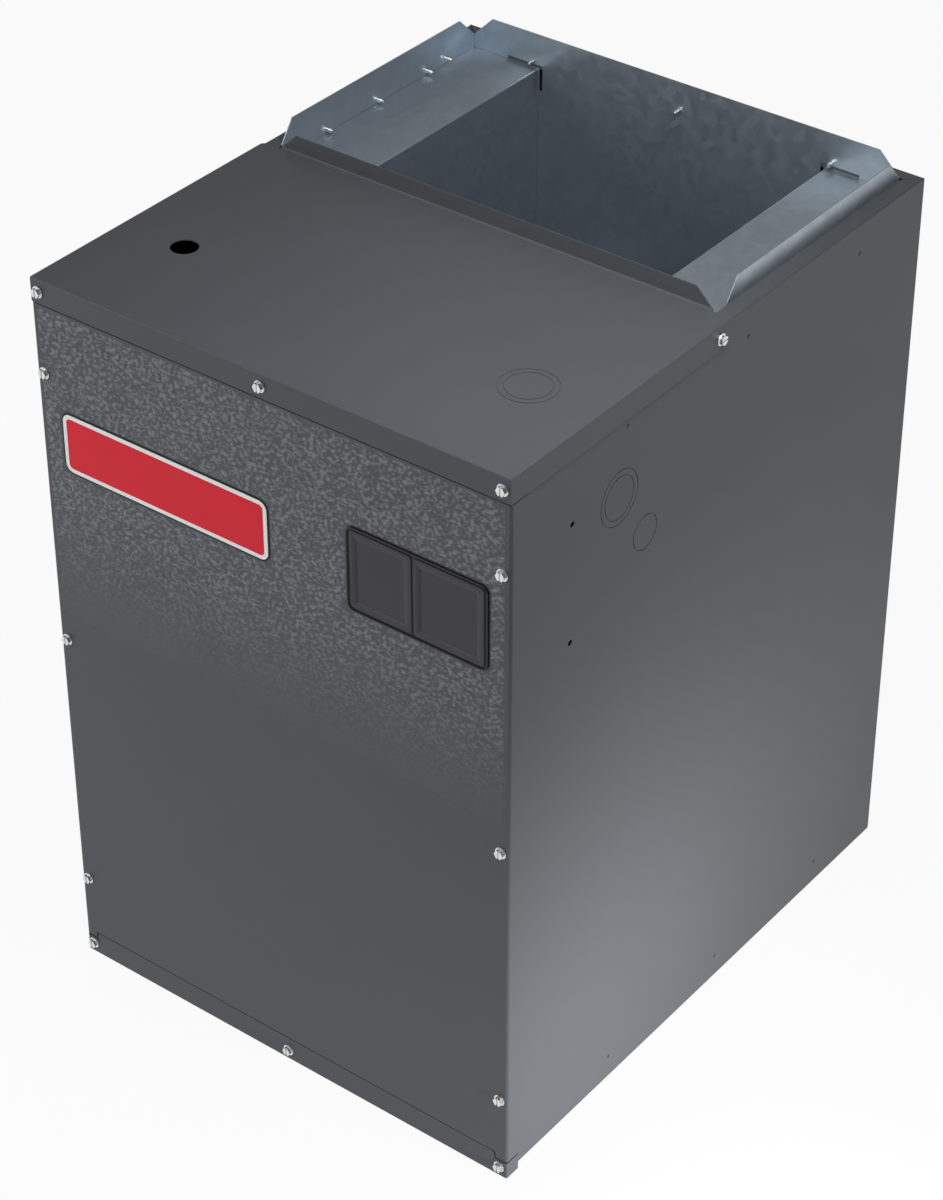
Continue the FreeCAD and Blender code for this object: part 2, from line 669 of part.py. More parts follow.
def side_panel(label, side):
    """Painted side: landing flange, wall, rear flange, top strip and its down-turned hem."""
    out, inner, strip = OUT_X * side, IN_X * side, STRIP_X * side
    rear = BACK - v.skin
    tip = (OUT_X - v.landing) * side
    rear_tip = (OUT_X - v.rear_fold) * side
    made = Piece(label)
    made.pad("XY", v.side_foot, TOP, polygon(
        (tip, FRONT), (out, FRONT), (out, rear), (rear_tip, rear), (rear_tip, rear - v.skin),
        (inner, rear - v.skin), (inner, FRONT + v.skin), (tip, FRONT + v.skin)))
    low, high = ordered(rear_tip - side, inner)
    made.pocket("XY", TOP - v.skin, TOP, rectangle(low, high, rear - v.skin * 2, rear + 1))
    made.pad("XY", TOP - v.skin, TOP, polygon(
        (out, FRONT), (out, rear), (strip, STRIP_Y - v.skin), (strip, FRONT)))
    hem = ordered(strip, strip + v.skin * side)
    made.pad("XY", HEM_LOW, TOP, rectangle(*hem, v.hem_start, STRIP_Y - v.hem / 2))
    made.pocket("XY", TOP - v.skin, TOP, circle(strip, STRIP_Y, v.relief))
    made.round(v.bend, lambda e: along(e, "z", x=out, y=FRONT) or along(e, "y", x=out, z=TOP))
    made.pocket("YZ", hem[0] - 1, hem[1] + 1, *[circle(y, z, HOLE) for y, z in collar_spots()])
    near, far = ordered(inner, out)
    hole_y = FRONT + v.side_hole_front
    hole_z = v.height - v.side_hole_drop
    holes = [circle(hole_y, hole_z - v.side_hole_pitch * n, v.side_hole) for n in (0, 1)]
    holes.append(circle(-v.side_screw_y, LIP_SCREW_Z, HOLE))
    made.pocket("YZ", near - 1, far + 1, *holes)
    first, last = FRONT + v.dimple_front, BACK - v.dimple_back
    dimples = []
    for y in (first, (first + last) / 2, last):
        for z in (v.height - v.dimple_drop, v.dimple_low):
            dimples.append(circle(y, z, v.dimple))
    knock = (FRONT + v.side_knock_front, v.height - v.side_knock_drop)
    small = (FRONT + v.small_knock_front, v.height - v.small_knock_drop)
    rings = [ring(*knock, r, v.groove) for r in (v.knock_inner, v.knock_outer)]
    rings.append(ring(*small, v.small_knock, v.groove))
    for depth, drawn in ((v.dimple_deep, dimples), (v.groove_deep, rings)):
        made.pocket("YZ", *ordered(out, out - depth * side), *drawn)
    heights = DOOR_SCREWS_Z + [LIP_SCREW_Z, v.base_screw_z]
    spots = [circle(SCREW_X * side, z, HOLE) for z in heights]
    made.pocket("XZ", FRONT - 1, FRONT + v.skin + 1, *spots)


def back_panel():
    """Painted back with its mitred top strip and hem."""
    made = Piece("back_panel")
    made.pad("XZ", BACK - v.skin, BACK, rectangle(-OUT_X, OUT_X, v.side_foot, TOP))
    made.pad("XY", TOP - v.skin, TOP, polygon(
        (-OUT_X, BACK), (OUT_X, BACK), (STRIP_X, STRIP_Y), (-STRIP_X, STRIP_Y)))
    hem_x = STRIP_X - v.hem / 2
    made.pad("XY", HEM_LOW, TOP, rectangle(-hem_x, hem_x, STRIP_Y, STRIP_Y + v.skin))
    made.pocket("XY", TOP - v.skin, TOP, *[circle(STRIP_X * s, STRIP_Y, v.relief) for s in (-1, 1)])
    made.pocket("XZ", STRIP_Y - 1, STRIP_Y + v.skin + 1, *three(BACK_SCREW_X, LAST_SCREW_Z))
    made.round(v.bend, lambda e: along(e, "x", y=BACK, z=TOP))


def top_cap():
    """Painted cap: lips at the front and sides, rear edge folded up as the front discharge flange."""
    out = OUT_X + v.skin
    made = Piece("top_cap")
    made.pad("XY", v.height - v.lip, TOP, polygon(
        (-out, -v.lip_end), (-out, DOOR_FACE), (out, DOOR_FACE), (out, -v.lip_end),
        (OUT_X, -v.lip_end), (OUT_X, FRONT), (-OUT_X, FRONT), (-OUT_X, -v.lip_end)))
    made.pad("XY", TOP, v.height, polygon(
        (-out, DOOR_FACE), (out, DOOR_FACE), (out, -v.lip_end), (OUT_X - 2, -v.cap_notch),
        (FLANGE_X, -v.cap_notch), (FLANGE_X, 0), (-FLANGE_X, 0),
        (-FLANGE_X, -v.cap_notch), (-OUT_X + 2, -v.cap_notch), (-out, -v.lip_end)))
    crest = v.height + v.flange_rise
    short = FLANGE_X - v.flange_cut
    made.pad("XZ", -v.skin, 0, polygon(
        (-FLANGE_X, TOP), (FLANGE_X, TOP), (FLANGE_X, v.height), (short, crest),
        (-short, crest), (-FLANGE_X, v.height)))
    made.round(v.bend, lambda e: along(e, "x", y=-v.skin, z=v.height))
    made.round(v.skin, lambda e: along(e, "x", y=DOOR_FACE, z=v.height)
               or along(e, "y", x=out, z=v.height) or along(e, "y", x=-out, z=v.height))
    made.pocket("XY", TOP - 1, v.height + 1, circle(-WIRE_X, WIRE_Y, v.wire_radius))
    knocks = [ring(WIRE_X, WIRE_Y, r, v.groove) for r in (v.knock_inner, v.knock_outer)]
    made.pocket("XY", v.height - v.groove_deep, v.height, *knocks)
    made.pocket("XZ", DOOR_FACE - 1, FRONT + 1, *three(SCREW_X, LIP_SCREW_Z))
    made.pocket("YZ", -out - 1, out + 1, circle(-v.side_screw_y, LIP_SCREW_Z, HOLE))


def base_front_rail():
    """Painted rail across the foot, stepped down at its corner tabs and folded round the sides."""
    out = OUT_X + v.skin
    end = DOOR_FACE + v.rail_return
    made = Piece("base_front_rail")
    made.pad("XY", 0, v.rail, polygon(
        (-out, end), (-out, DOOR_FACE), (out, DOOR_FACE), (out, end),
        (OUT_X, end), (OUT_X, FRONT), (-OUT_X, FRONT), (-OUT_X, end)))
    made.round(v.bend, lambda e: along(e, "z", x=out, y=DOOR_FACE) or along(e, "z", x=-out, y=DOOR_FACE))
    for side in (-1, 1):
        low, high = ordered(TAB_X * side, (out + 1) * side)
        made.pocket("XZ", DOOR_FACE - 1, end + 1, rectangle(low, high, v.tab_top, v.rail + 1))
    made.pocket("XZ", DOOR_FACE - 1, FRONT + 1, *three(SCREW_X, v.base_screw_z))


def pan_edge(inner, outer, way):
    """Section of a base pan edge: up from the floor, out to the panel and up along it."""
    step, thick = v.side_foot, v.galv
    return polygon(*((across * way, z) for across, z in (
        (inner - thick, 0), (inner, 0), (inner, step), (outer, step), (outer, v.pan_rise),
        (outer - thick, v.pan_rise), (outer - thick, step + thick), (inner - thick, step + thick))))


def base_pan():
    """Galvanised tray with the return-air opening, set in below the panels its upstands seat on."""
    front_half = OUT_X - v.landing - v.seat
    back_half = OUT_X - v.rear_fold - v.seat
    side, rear = IN_X - v.pan_step, BACK - v.skin - v.pan_step
    made = Piece("base_pan")
    made.pad("XY", 0, v.galv, rectangle(-side, side, FRONT, rear))
    made.pad("XZ", FRONT + v.skin + v.seat, rear, *(pan_edge(side, IN_X, way) for way in (-1, 1)))
    made.pad("YZ", -back_half, back_half, pan_edge(rear, BACK - v.skin, 1))
    made.pad("XY", 0, v.rail, rectangle(-front_half, front_half, FRONT, FRONT + v.galv))
    way = OUT_X - v.return_edge
    made.pocket("XY", -1, v.galv + 1, rectangle(-way, way, FRONT + v.return_lip, BACK - v.return_lip))
    made.pocket("XZ", FRONT - 1, FRONT + v.galv + 1, circle(0, v.base_screw_z, HOLE))


def front_header():
    """Galvanised angle behind the cap lip, between the landing flanges."""
    face = FRONT + v.skin
    top = TOP - v.skin - v.seat
    low = v.height - v.header_drop
    half = IN_X - v.seat
    made = Piece("front_header")
    made.pad("YZ", -half, half, polygon(
        (face, low), (face + v.galv, low), (face + v.galv, top - v.galv),
        (face + v.header_leaf, top - v.galv), (face + v.header_leaf, top), (face, top)))
    made.pocket("XZ", face - 1, face + v.galv + 1, *three(SCREW_X, LIP_SCREW_Z))


# Discharge collar and duct

def collar_spots():
    """Places of the screws in a side leaf, as (y, z)."""
    first, third = v.collar_screw_first, DUCT_REAR - v.collar_screw_end
    spots = [(y, COLLAR_SCREW_Z) for y in (first, (first + third) / 2, third)]
    spots.append((DUCT_REAR - v.collar_screw_last, LAST_SCREW_Z))
    return spots


def collar_leaf(label, side, start):
    """Galvanised leaf inside a side panel's hem, with sloping ends."""
    rear = DUCT_REAR - v.seat
    low, high = ordered((STRIP_X - v.galv) * side, STRIP_X * side)
    made = Piece(label)
    made.pad("YZ", low, high, polygon(
        (start, HEM_LOW), (rear, HEM_LOW), (rear, v.height), (rear - v.collar_cut, COLLAR_TOP),
        (start + v.collar_nose, COLLAR_TOP), (start, v.height)))
    made.pocket("YZ", low - 1, high + 1, *[circle(y, z, HOLE) for y, z in collar_spots()])


def duct_back():
    """Galvanised back wall of the duct; its upper edge is the back leaf of the collar."""
    half = STRIP_X - v.galv
    narrow = DUCT_X + v.duct_foot + v.galv
    step = SHELF - v.hem
    made = Piece("duct_back")
    made.pad("XZ", DUCT_REAR, STRIP_Y, polygon(
        (-narrow, DECK), (narrow, DECK), (narrow, step), (half, step), (half, v.height),
        (half - v.collar_cut, COLLAR_TOP), (-half + v.collar_cut, COLLAR_TOP), (-half, v.height),
        (-half, step), (-narrow, step)))
    z = SHELF + v.seat
    for side in (-1, 1):
        near = (DUCT_X - v.slot * 1.5) * side
        run = ordered(near, near + v.slot_run * side)
        drop = ordered(near, near + v.slot * side)
        made.pocket("XZ", DUCT_REAR - 1, STRIP_Y + 1, rectangle(*run, z, z + v.slot))
        made.pocket("XZ", DUCT_REAR - 1, STRIP_Y + 1, rectangle(*drop, z - v.slot_drop, z + v.slot))
    made.pocket("XZ", DUCT_REAR - 1, STRIP_Y + 1, *three(BACK_SCREW_X, LAST_SCREW_Z))


def duct_wall(label, side):
    """Galvanised duct side: shelf at the top, wall, foot on the deck."""
    outer = (STRIP_X - v.galv - v.seat) * side
    inner = DUCT_X * side
    behind = (DUCT_X + v.galv) * side
    foot = (DUCT_X + v.duct_foot) * side
    made = Piece(label)
    made.pad("XZ", DUCT_FRONT + v.seat, DUCT_REAR - v.seat, polygon(
        (outer, SHELF), (inner, SHELF), (inner, DECK), (foot, DECK), (foot, DECK + v.galv),
        (behind, DECK + v.galv), (behind, SHELF - v.galv), (outer, SHELF - v.galv)))
    made.round(v.bend, lambda e: along(e, "y", x=inner, z=SHELF))


def heater_spots():
    """Corner screws of the heater blank plate, as (x, z)."""
    inset = v.heater_lap / 2
    xs = (-v.heater_left - inset, v.heater_right + inset)
    zs = (HEATER_LOW - inset, HEATER_HIGH + inset)
    return [(x, z) for x in xs for z in zs]


def partition():
    """Galvanised wall between the control space and the duct."""
    wide = IN_X - v.seat
    shoulder = TOP - v.skin - v.seat
    neck = FLANGE_X - v.flange_cut / 2
    crest = v.height + v.flange_rise - 2
    made = Piece("partition")
    made.pad("XZ", WALL_FRONT, DUCT_FRONT, polygon(
        (-wide, DECK), (wide, DECK), (wide, shoulder), (neck, shoulder), (neck - v.flange_cut / 2, crest),
        (-neck + v.flange_cut / 2, crest), (-neck, shoulder), (-wide, shoulder)))
    made.pocket("XZ", WALL_FRONT - 1, DUCT_FRONT + 1,
                rectangle(-v.heater_left, v.heater_right, HEATER_LOW, HEATER_HIGH))
    made.pocket("XZ", WALL_FRONT - 1, DUCT_FRONT + 1, *[circle(x, z, HOLE) for x, z in heater_spots()])


def heater_blank_plate():
    """Plate over the heater opening, on the front of the partition."""
    lap = v.heater_lap
    made = Piece("heater_blank_plate")
    made.pad("XZ", WALL_FRONT - v.galv, WALL_FRONT, rounded(
        -v.heater_left - lap, v.heater_right + lap, HEATER_LOW - lap, HEATER_HIGH + lap, lap / 4))
    made.pocket("XZ", WALL_FRONT - 2, WALL_FRONT + 1, *[circle(x, z, HOLE) for x, z in heater_spots()])


# Blower deck and hanging rails

def scroll_centre(column, row):
    """A corner of the layout square, as (y, z) in the cabinet."""
    return AXIS_Y + v.scroll_step / 2 * column, AXIS_Z + v.scroll_step / 2 * row


TONGUE_Y = scroll_centre(-1, 1)[0] + SCROLL_BASE * cosine(v.tongue)
TONGUE_Z = scroll_centre(-1, 1)[1] + SCROLL_BASE * sine(v.tongue)
PLATE_TOP = DECK_UNDER - v.rail_gap


def blower_deck():
    """Galvanised shelf that carries the blower; front and side edges folded down."""
    half = IN_X - v.seat
    front = FRONT + v.skin + v.galv + v.seat
    rear = BACK - v.skin * 2 - v.seat
    made = Piece("blower_deck")
    made.pad("XY", DECK_UNDER, DECK, rectangle(-half, half, front, rear))
    made.pad("XY", DECK - v.deck_fold, DECK, rectangle(-half, half, front, front + v.galv))
    for side in (-1, 1):
        low, high = ordered(half * side, (half - v.galv) * side)
        made.pad("XY", DECK - v.deck_fold, DECK, rectangle(low, high, front, rear))
    made.pocket("XY", DECK_UNDER - 1, DECK + 1,
                rectangle(-HOUSING_X, HOUSING_X, TONGUE_Y + v.seat, SCROLL_REAR - v.galv))
    made.pocket("XY", DECK_UNDER - 1, DECK + 1, circle(HARNESS_X, -v.harness_y, v.grommet_hole))


def rail_spots(side):
    """Lock screws of the blower, as (x, y)."""
    x = (PLATE_OUT + v.plate_fold / 2) * side
    return [(x, TONGUE_Y + v.plate_fold), (x, SCROLL_REAR - v.plate_fold)]


def blower_rails():
    """Two folded rails under the deck; the side plates' top flanges slide in on them."""
    rails = []
    leaf = PLATE_TOP - v.galv - v.seat
    for side, label in ((-1, "blower_rail_left"), (1, "blower_rail_right")):
        inner = (PLATE_OUT + v.seat * 4) * side
        web = (PLATE_OUT + v.plate_fold + 1) * side
        web_out = web + v.galv * side
        outer = (PLATE_OUT + v.plate_fold * 2) * side
        made = Piece(label, node=False)
        made.pad("XZ", TONGUE_Y - v.rail_run, SCROLL_REAR, polygon(
            (inner, leaf - v.galv), (web_out, leaf - v.galv), (web_out, DECK_UNDER - v.galv),
            (outer, DECK_UNDER - v.galv), (outer, DECK_UNDER), (web, DECK_UNDER), (web, leaf),
            (inner, leaf)))
        spots = [circle(x, y, HOLE) for x, y in rail_spots(side)]
        made.pocket("XY", leaf - v.galv - 1, leaf + 1, *spots)
        rails.append(made.body)
    keep(bundle("blower_rails", rails), "blower_rails")


# Blower housing

def scroll_edge(sketch, grow):
    """Right, lower and front arcs of the scroll, laid out on the corners of a square."""
    quarter = [as_size(a) for a in (90, 180, 270, 360)]
    base = SCROLL_BASE + grow
    arc(sketch, scroll_centre(1, 1), base + v.scroll_step * 3, quarter[2], quarter[3], "X", "Y")
    arc(sketch, scroll_centre(1, -1), base + v.scroll_step * 2, quarter[1], quarter[2], "Y", "X")
    arc(sketch, scroll_centre(-1, -1), base + v.scroll_step, quarter[0], quarter[1], "X", "Y")


def plate_outline(sketch):
    """Side plate: the scroll grown by the seam, with the outlet neck above it."""
    rear = SCROLL_REAR + v.seam
    right_z = scroll_centre(1, 1)[1]
    crown_y, crown_z = scroll_centre(-1, -1)
    crown_z = crown_z + SCROLL_BASE + v.scroll_step + v.seam
    neck = TONGUE_Y - v.seam
    scroll_edge(sketch, v.seam)
    line(sketch, (rear, right_z), (rear, PLATE_TOP))
    line(sketch, (rear, PLATE_TOP), (neck, PLATE_TOP))
    line(sketch, (neck, PLATE_TOP), (neck, crown_z))
    line(sketch, (neck, crown_z), (crown_y, crown_z))


ARM_ANGLES = (90, 210, 330)


def arm_point(angle, radius):
    """A point at a radius from the wheel axis, as (y, z)."""
    turn = as_size(angle)
    return AXIS_Y + radius * cosine(turn), AXIS_Z + radius * sine(turn)


ARM_BOLT = ARM_REACH + v.arm_foot / 2


def housing_side(label, side):
    """Housing side plate with its inlet hole and top flange."""
    low, high = ordered(HOUSING_X * side, PLATE_OUT * side)
    near, far = ordered(HOUSING_X * side, (PLATE_OUT + v.plate_fold) * side)
    made = Piece(label)
    made.pad("YZ", low, high, plate_outline)
    made.pad("XY", PLATE_TOP - v.galv, PLATE_TOP,
             rectangle(near, far, TONGUE_Y - v.seam, SCROLL_REAR + v.seam))
    made.pocket("YZ", low - 1, high + 1, circle(AXIS_Y, AXIS_Z, INLET_HOLE))
    if side < 0:
        bolts = [circle(*arm_point(a, ARM_BOLT), v.bolt_radius + v.screw_play) for a in ARM_ANGLES]
        straps = [circle(y, AXIS_Z, HOLE) for y in strap_spots()]
        made.pocket("YZ", low - 1, high + 1, *(bolts + straps))
    spots = [circle(x, y, HOLE) for x, y in rail_spots(side)]
    made.pocket("XY", PLATE_TOP - v.galv - 1, PLATE_TOP + 1, *spots)


def scroll_wrap():
    """Sheet that runs round the scroll from the outlet's rear wall to the tongue."""
    def band(sketch):
        inside = -v.galv
        start = v.tongue
        quarter = as_size(90)
        top = DECK_UNDER - v.seat
        right_z = scroll_centre(1, 1)[1]
        first = scroll_centre(-1, 1)
        for grow in (as_size(0), inside):
            scroll_edge(sketch, grow)
            arc(sketch, first, SCROLL_BASE + grow, start, quarter, "X", "X")
            line(sketch, (SCROLL_REAR + grow, right_z), (SCROLL_REAR + grow, top))
        line(sketch, (SCROLL_REAR, top), (SCROLL_REAR + inside, top))
        ends = []
        for grow in (as_size(0), inside):
            reach = SCROLL_BASE + grow
            ends.append((first[0] + reach * cosine(start), first[1] + reach * sine(start)))
        line(sketch, *ends)
    made = Piece("scroll_wrap")
    made.pad("YZ", -HOUSING_X, HOUSING_X, band)


def cut_off():
    """Upright sheet from the tongue to the deck, with a stiffening fold at its foot."""
    near = TONGUE_Y + v.seat
    made = Piece("cut_off")
    made.pad("YZ", -HOUSING_X, HOUSING_X, polygon(
        (near, TONGUE_Z - 4), (near + v.galv, TONGUE_Z - 4), (near + v.galv, DECK_UNDER - v.seat),
        (near, DECK_UNDER - v.seat)))


def inlet_ring(label, side):
    """Spun inlet ring: flat flange on the side plate and a throat towards the wheel."""
    face = PLATE_OUT * side
    out = (PLATE_OUT + v.galv) * side
    throat = (WHEEL_X + v.inlet_clear) * side
    mouth = INLET_HOLE - v.seat * 2
    made = Piece(label)
    made.turn("XZ", "H_Axis", polygon(
        (face, INLET_FLANGE), (out, INLET_FLANGE), (out, mouth - v.galv), (throat, INLET_THROAT),
        (throat, INLET_THROAT + v.galv), (face, mouth)))
    made.place(0, AXIS_Y, AXIS_Z)


# Wheel

def wheel_blades():
    """Two rows of forward-curved blades between the centre disc and the end rings."""
    tip = v.wheel_radius.number - 0.4
    root = v.wheel_radius.number - v.ring_depth.number + 0.6
    lead = math.radians(v.blade_lead.number)
    half = v.blade_thick.number / 2
    start = v.disc_thick.number / 2
    end = WHEEL_X.number - v.wheel_ring.number

    def at(radius, angle):
        return Vector(0, radius * math.cos(angle), radius * math.sin(angle))

    inner, outer = at(root, 0), at(tip, lead)
    chord = outer - inner
    chord.normalize()
    normal = Vector(0, chord.z, -chord.y)
    middle = (inner + outer) * 0.5 + normal * v.blade_bow.number
    edges = []
    for offset in (half, -half):
        shift = normal * offset
        edges.append(Part.Arc(inner + shift, middle + shift, outer + shift).toShape())
    caps = []
    for place in (inner, outer):
        caps.append(Part.makeLine(place + normal * half, place - normal * half))
    face = Part.Face(Part.Wire(Part.__sortEdges__(edges + caps)))
    right = face.extrude(Vector(end - start, 0, 0))
    right.translate(Vector(start, 0, 0))
    left = face.extrude(Vector(start - end, 0, 0))
    left.translate(Vector(-start, 0, 0))
    blades = []
    count = int(v.blade_count.number)
    for n in range(count):
        for row in (left, right):
            blade = row.copy()
            blade.rotate(Vector(0, 0, 0), Vector(1, 0, 0), 360.0 * n / count)
            blades.append(blade)
    made = keep(shape_of("wheel_blades", Part.Compound(blades)), "wheel_blades")
    put(made, 0, AXIS_Y, AXIS_Z)


def tube(label, outer, inner, low, high):
    """A round sleeve along X about the wheel axis."""
    start = (low, AXIS_Y, AXIS_Z)
    long = as_size(high) - low
    return cut(label, rod(f"{label}_outer", outer, long, start, "+x"),
               rod(f"{label}_bore", inner, long + 2, (as_size(low) - 1, AXIS_Y, AXIS_Z), "+x"))


def wheel():
    inner = v.wheel_radius - v.ring_depth
    edge = WHEEL_X - v.wheel_ring
    rings = [tube("wheel_ring_left", v.wheel_radius, inner, -WHEEL_X, -edge),
             tube("wheel_ring_right", v.wheel_radius, inner, edge, WHEEL_X)]
    keep(bundle("wheel_end_rings", rings), "wheel_end_rings")
    half = v.disc_thick / 2
    keep(tube("wheel_disc", v.wheel_radius, v.hub_radius + v.hub_play, -half, half), "wheel_disc")
    bore = v.shaft_radius + v.hub_play
    hub = Piece("wheel_hub")
    hub.turn("XZ", "H_Axis", polygon(
        (-v.hub_left, bore), (v.hub_right, bore), (v.hub_right, v.hub_radius),
        (half + 2, v.hub_radius), (half + 2, v.hub_flange), (half, v.hub_flange),
        (half, v.hub_radius), (-v.hub_left, v.hub_radius)))
    hub.pocket("XY", 0, v.hub_radius + 1, circle(v.set_screw_x, 0, v.set_screw_radius + v.hub_play))
    hub.place(0, AXIS_Y, AXIS_Z)
    foot = (v.set_screw_x, AXIS_Y, AXIS_Z + bore)
    thread = rod("set_screw_thread", v.set_screw_radius, v.hub_radius - bore + 3, foot, "+z")
    top = AXIS_Z + v.hub_radius + 2.5
    reach = v.set_head / 2
    head = block("set_screw_head", (v.set_screw_x - reach, v.set_screw_x + reach),
                 (AXIS_Y - reach, AXIS_Y + reach), (top, top + 6))
    keep(fuse("wheel_set_screw", [thread, head]), "wheel_set_screw")


# Motor

def motor_bell(label, seat_x, outward):
    """Cast end bell with a bearing pocket; outward is the side it points to."""
    wall = v.motor_radius - v.shell_thick
    pocket = v.bearing_radius

    def at(reach, radius):
        return seat_x + v.bell_long * reach * outward, radius
    made = Piece(label)
    made.turn("XZ", "H_Axis", polygon(
        at(0, v.motor_radius), at(0.45, v.motor_radius), at(0.8, v.motor_radius * 0.83),
        at(1, v.motor_radius * 0.37), at(1, v.shaft_radius + 2.5), at(0.8, v.shaft_radius + 2.5),
        at(0.8, pocket), at(0.1, pocket), at(0.1, pocket + 6), at(0.6, pocket + 8),
        at(0.5, wall * 0.83), at(0.22, wall * 0.95), at(0, wall)))
    made.place(0, AXIS_Y, AXIS_Z)


def motor():
    """Shell, end bells, bearings, stator, rotor and the shaft that runs on into the wheel's hub."""
    wall = v.motor_radius - v.shell_thick
    keep(tube("motor_shell", v.motor_radius, wall, SHELL_OUT_END, SHELL_IN_END), "motor_shell")
    motor_bell("motor_bell_outer", SHELL_OUT_END, -1)
    motor_bell("motor_bell_inner", SHELL_IN_END, 1)
    bore = v.shaft_radius + v.bearing_play
    outside = v.bearing_radius - v.hub_play
    near, far = v.bell_long * 0.1, v.bell_long * 0.8
    pair = [
        tube("motor_bearing_outer", outside, bore, SHELL_OUT_END - far, SHELL_OUT_END - near),
        tube("motor_bearing_inner", outside, bore, SHELL_IN_END + near, SHELL_IN_END + far),
    ]
    keep(bundle("motor_bearings", pair), "motor_bearings")
    keep(tube("stator_core", wall - v.hub_play, v.stator_bore, STACK_LEFT, STACK_RIGHT), "stator_core")
    coil_in = v.stator_bore + 3
    coil_out = wall - 4
    coils = [
        tube("stator_winding_left", coil_out, coil_in, STACK_LEFT - v.winding_long, STACK_LEFT),
        tube("stator_winding_right", coil_out, coil_in, STACK_RIGHT, STACK_RIGHT + v.winding_long),
    ]
    keep(bundle("stator_winding", coils), "stator_winding")
    core = tube("motor_rotor", v.stator_bore - v.air_gap, v.shaft_radius + v.hub_play,
                STACK_LEFT - 1, STACK_RIGHT + 1)
    keep(core, "motor_rotor")
    start = (-MOTOR_END - v.shaft_stub, AXIS_Y, AXIS_Z)
    shaft = rod("motor_shaft", v.shaft_radius, v.hub_right - start[0] + 2, start, "+x")
    keep(shaft, "motor_shaft")


BAND_OUT = v.motor_radius + v.band_gap + v.band_thick
BAND_LEFT = BAND_MIDDLE - v.band_wide / 2
BAND_RIGHT = BAND_MIDDLE + v.band_wide / 2


def belly_band():
    """Split clamp band round the motor shell, ears towards the front."""
    hoop = tube("belly_hoop", BAND_OUT, v.motor_radius + v.band_gap, BAND_LEFT, BAND_RIGHT)
    tip = AXIS_Y - BAND_OUT - v.ear_long
    root = AXIS_Y - v.motor_radius - v.band_gap - 0.8
    split = block("belly_split", (BAND_LEFT - 1, BAND_RIGHT + 1), (tip - 1, root + 4),
                  (AXIS_Z - v.ear_half, AXIS_Z + v.ear_half))
    ears = []
    for sign, name in ((-1, "belly_ear_low"), (1, "belly_ear_high")):
        z = ordered(AXIS_Z + v.ear_half * sign, AXIS_Z + (v.ear_half + v.band_thick) * sign)
        ears.append(block(name, (BAND_LEFT, BAND_RIGHT), (tip, root), z))
    open_hoop = cut("belly_hoop_open", hoop, split)
    whole = fuse("belly_ears", [open_hoop] + ears)
    y = AXIS_Y - BAND_OUT - v.ear_long / 2
    hole = rod("belly_hole", v.bolt_radius + v.screw_play, v.ear_half * 6,
               (BAND_MIDDLE, y, AXIS_Z - v.ear_half * 3), "+z")
    keep(cut("belly_band", whole, hole), "belly_band")
    top = AXIS_Z + v.ear_half + v.band_thick
    grip = (v.ear_half + v.band_thick) * 2
    keep(bolt("band_bolt", (BAND_MIDDLE, y, top), "+z", grip), "band_bolt")


FOOT_X = -PLATE_OUT - v.grommet_thick


def motor_arms():
    """Three cranked bars from the belly band to the left side plate."""
    arms = []
    half = v.arm_wide / 2
    spoke_left = BAND_MIDDLE - v.arm_thick / 2
    spoke_right = spoke_left + v.arm_thick
    foot_left = FOOT_X - v.arm_thick
    for n, angle in enumerate(ARM_ANGLES, 1):
        turn = angle - 90
        low = BAND_OUT
        leg = ARM_REACH - v.arm_thick
        parts = [
            block(f"arm_spoke_{n}", (spoke_left, spoke_right), (-half, half), (low, ARM_REACH)),
            block(f"arm_leg_{n}", (spoke_left, FOOT_X), (-half, half), (leg, ARM_REACH)),
            block(f"arm_foot_{n}", (foot_left, FOOT_X), (-half, half), (leg, ARM_REACH + v.arm_foot)),
        ]
        hole = rod(f"arm_hole_{n}", v.bolt_radius + v.screw_play, v.arm_thick * 3,
                   (foot_left - v.arm_thick, 0, ARM_BOLT), "+x")
        arm = cut(f"arm_{n}", fuse(f"arm_bar_{n}", parts), hole)
        put(arm, 0, AXIS_Y, AXIS_Z, Rotation(Vector(1, 0, 0), turn))
        arms.append(arm)
    keep(bundle("motor_arms", arms), "motor_arms")
    grommets, bolts = [], []
    for n, angle in enumerate(ARM_ANGLES, 1):
        y, z = arm_point(angle, ARM_BOLT)
        bore = v.bolt_radius + v.screw_play
        pad = rod(f"arm_grommet_pad_{n}", v.grommet_radius, v.grommet_thick, (FOOT_X, y, z), "+x")
        hole = rod(f"arm_grommet_hole_{n}", bore, v.grommet_thick + 2, (FOOT_X - 1, y, z), "+x")
        grommets.append(cut(f"arm_grommet_{n}", pad, hole))
        grip = v.arm_thick + v.grommet_thick + v.galv
        bolts.append(bolt(f"arm_bolt_{n}", (foot_left, y, z), "-x", grip))
    keep(bundle("arm_grommets", grommets), "arm_grommets")
    keep(bundle("arm_bolts", bolts), "arm_bolts")


# Capacitor

CAN_X = -PLATE_OUT - v.can_radius - v.seat
CAN_Y = AXIS_Y + INLET_FLANGE + v.can_clear


def strap_spots():
    """Strap screws on the left side plate, as y."""
    reach = v.can_radius + v.seat + v.galv + v.strap_foot / 2
    return [CAN_Y - reach, CAN_Y + reach]


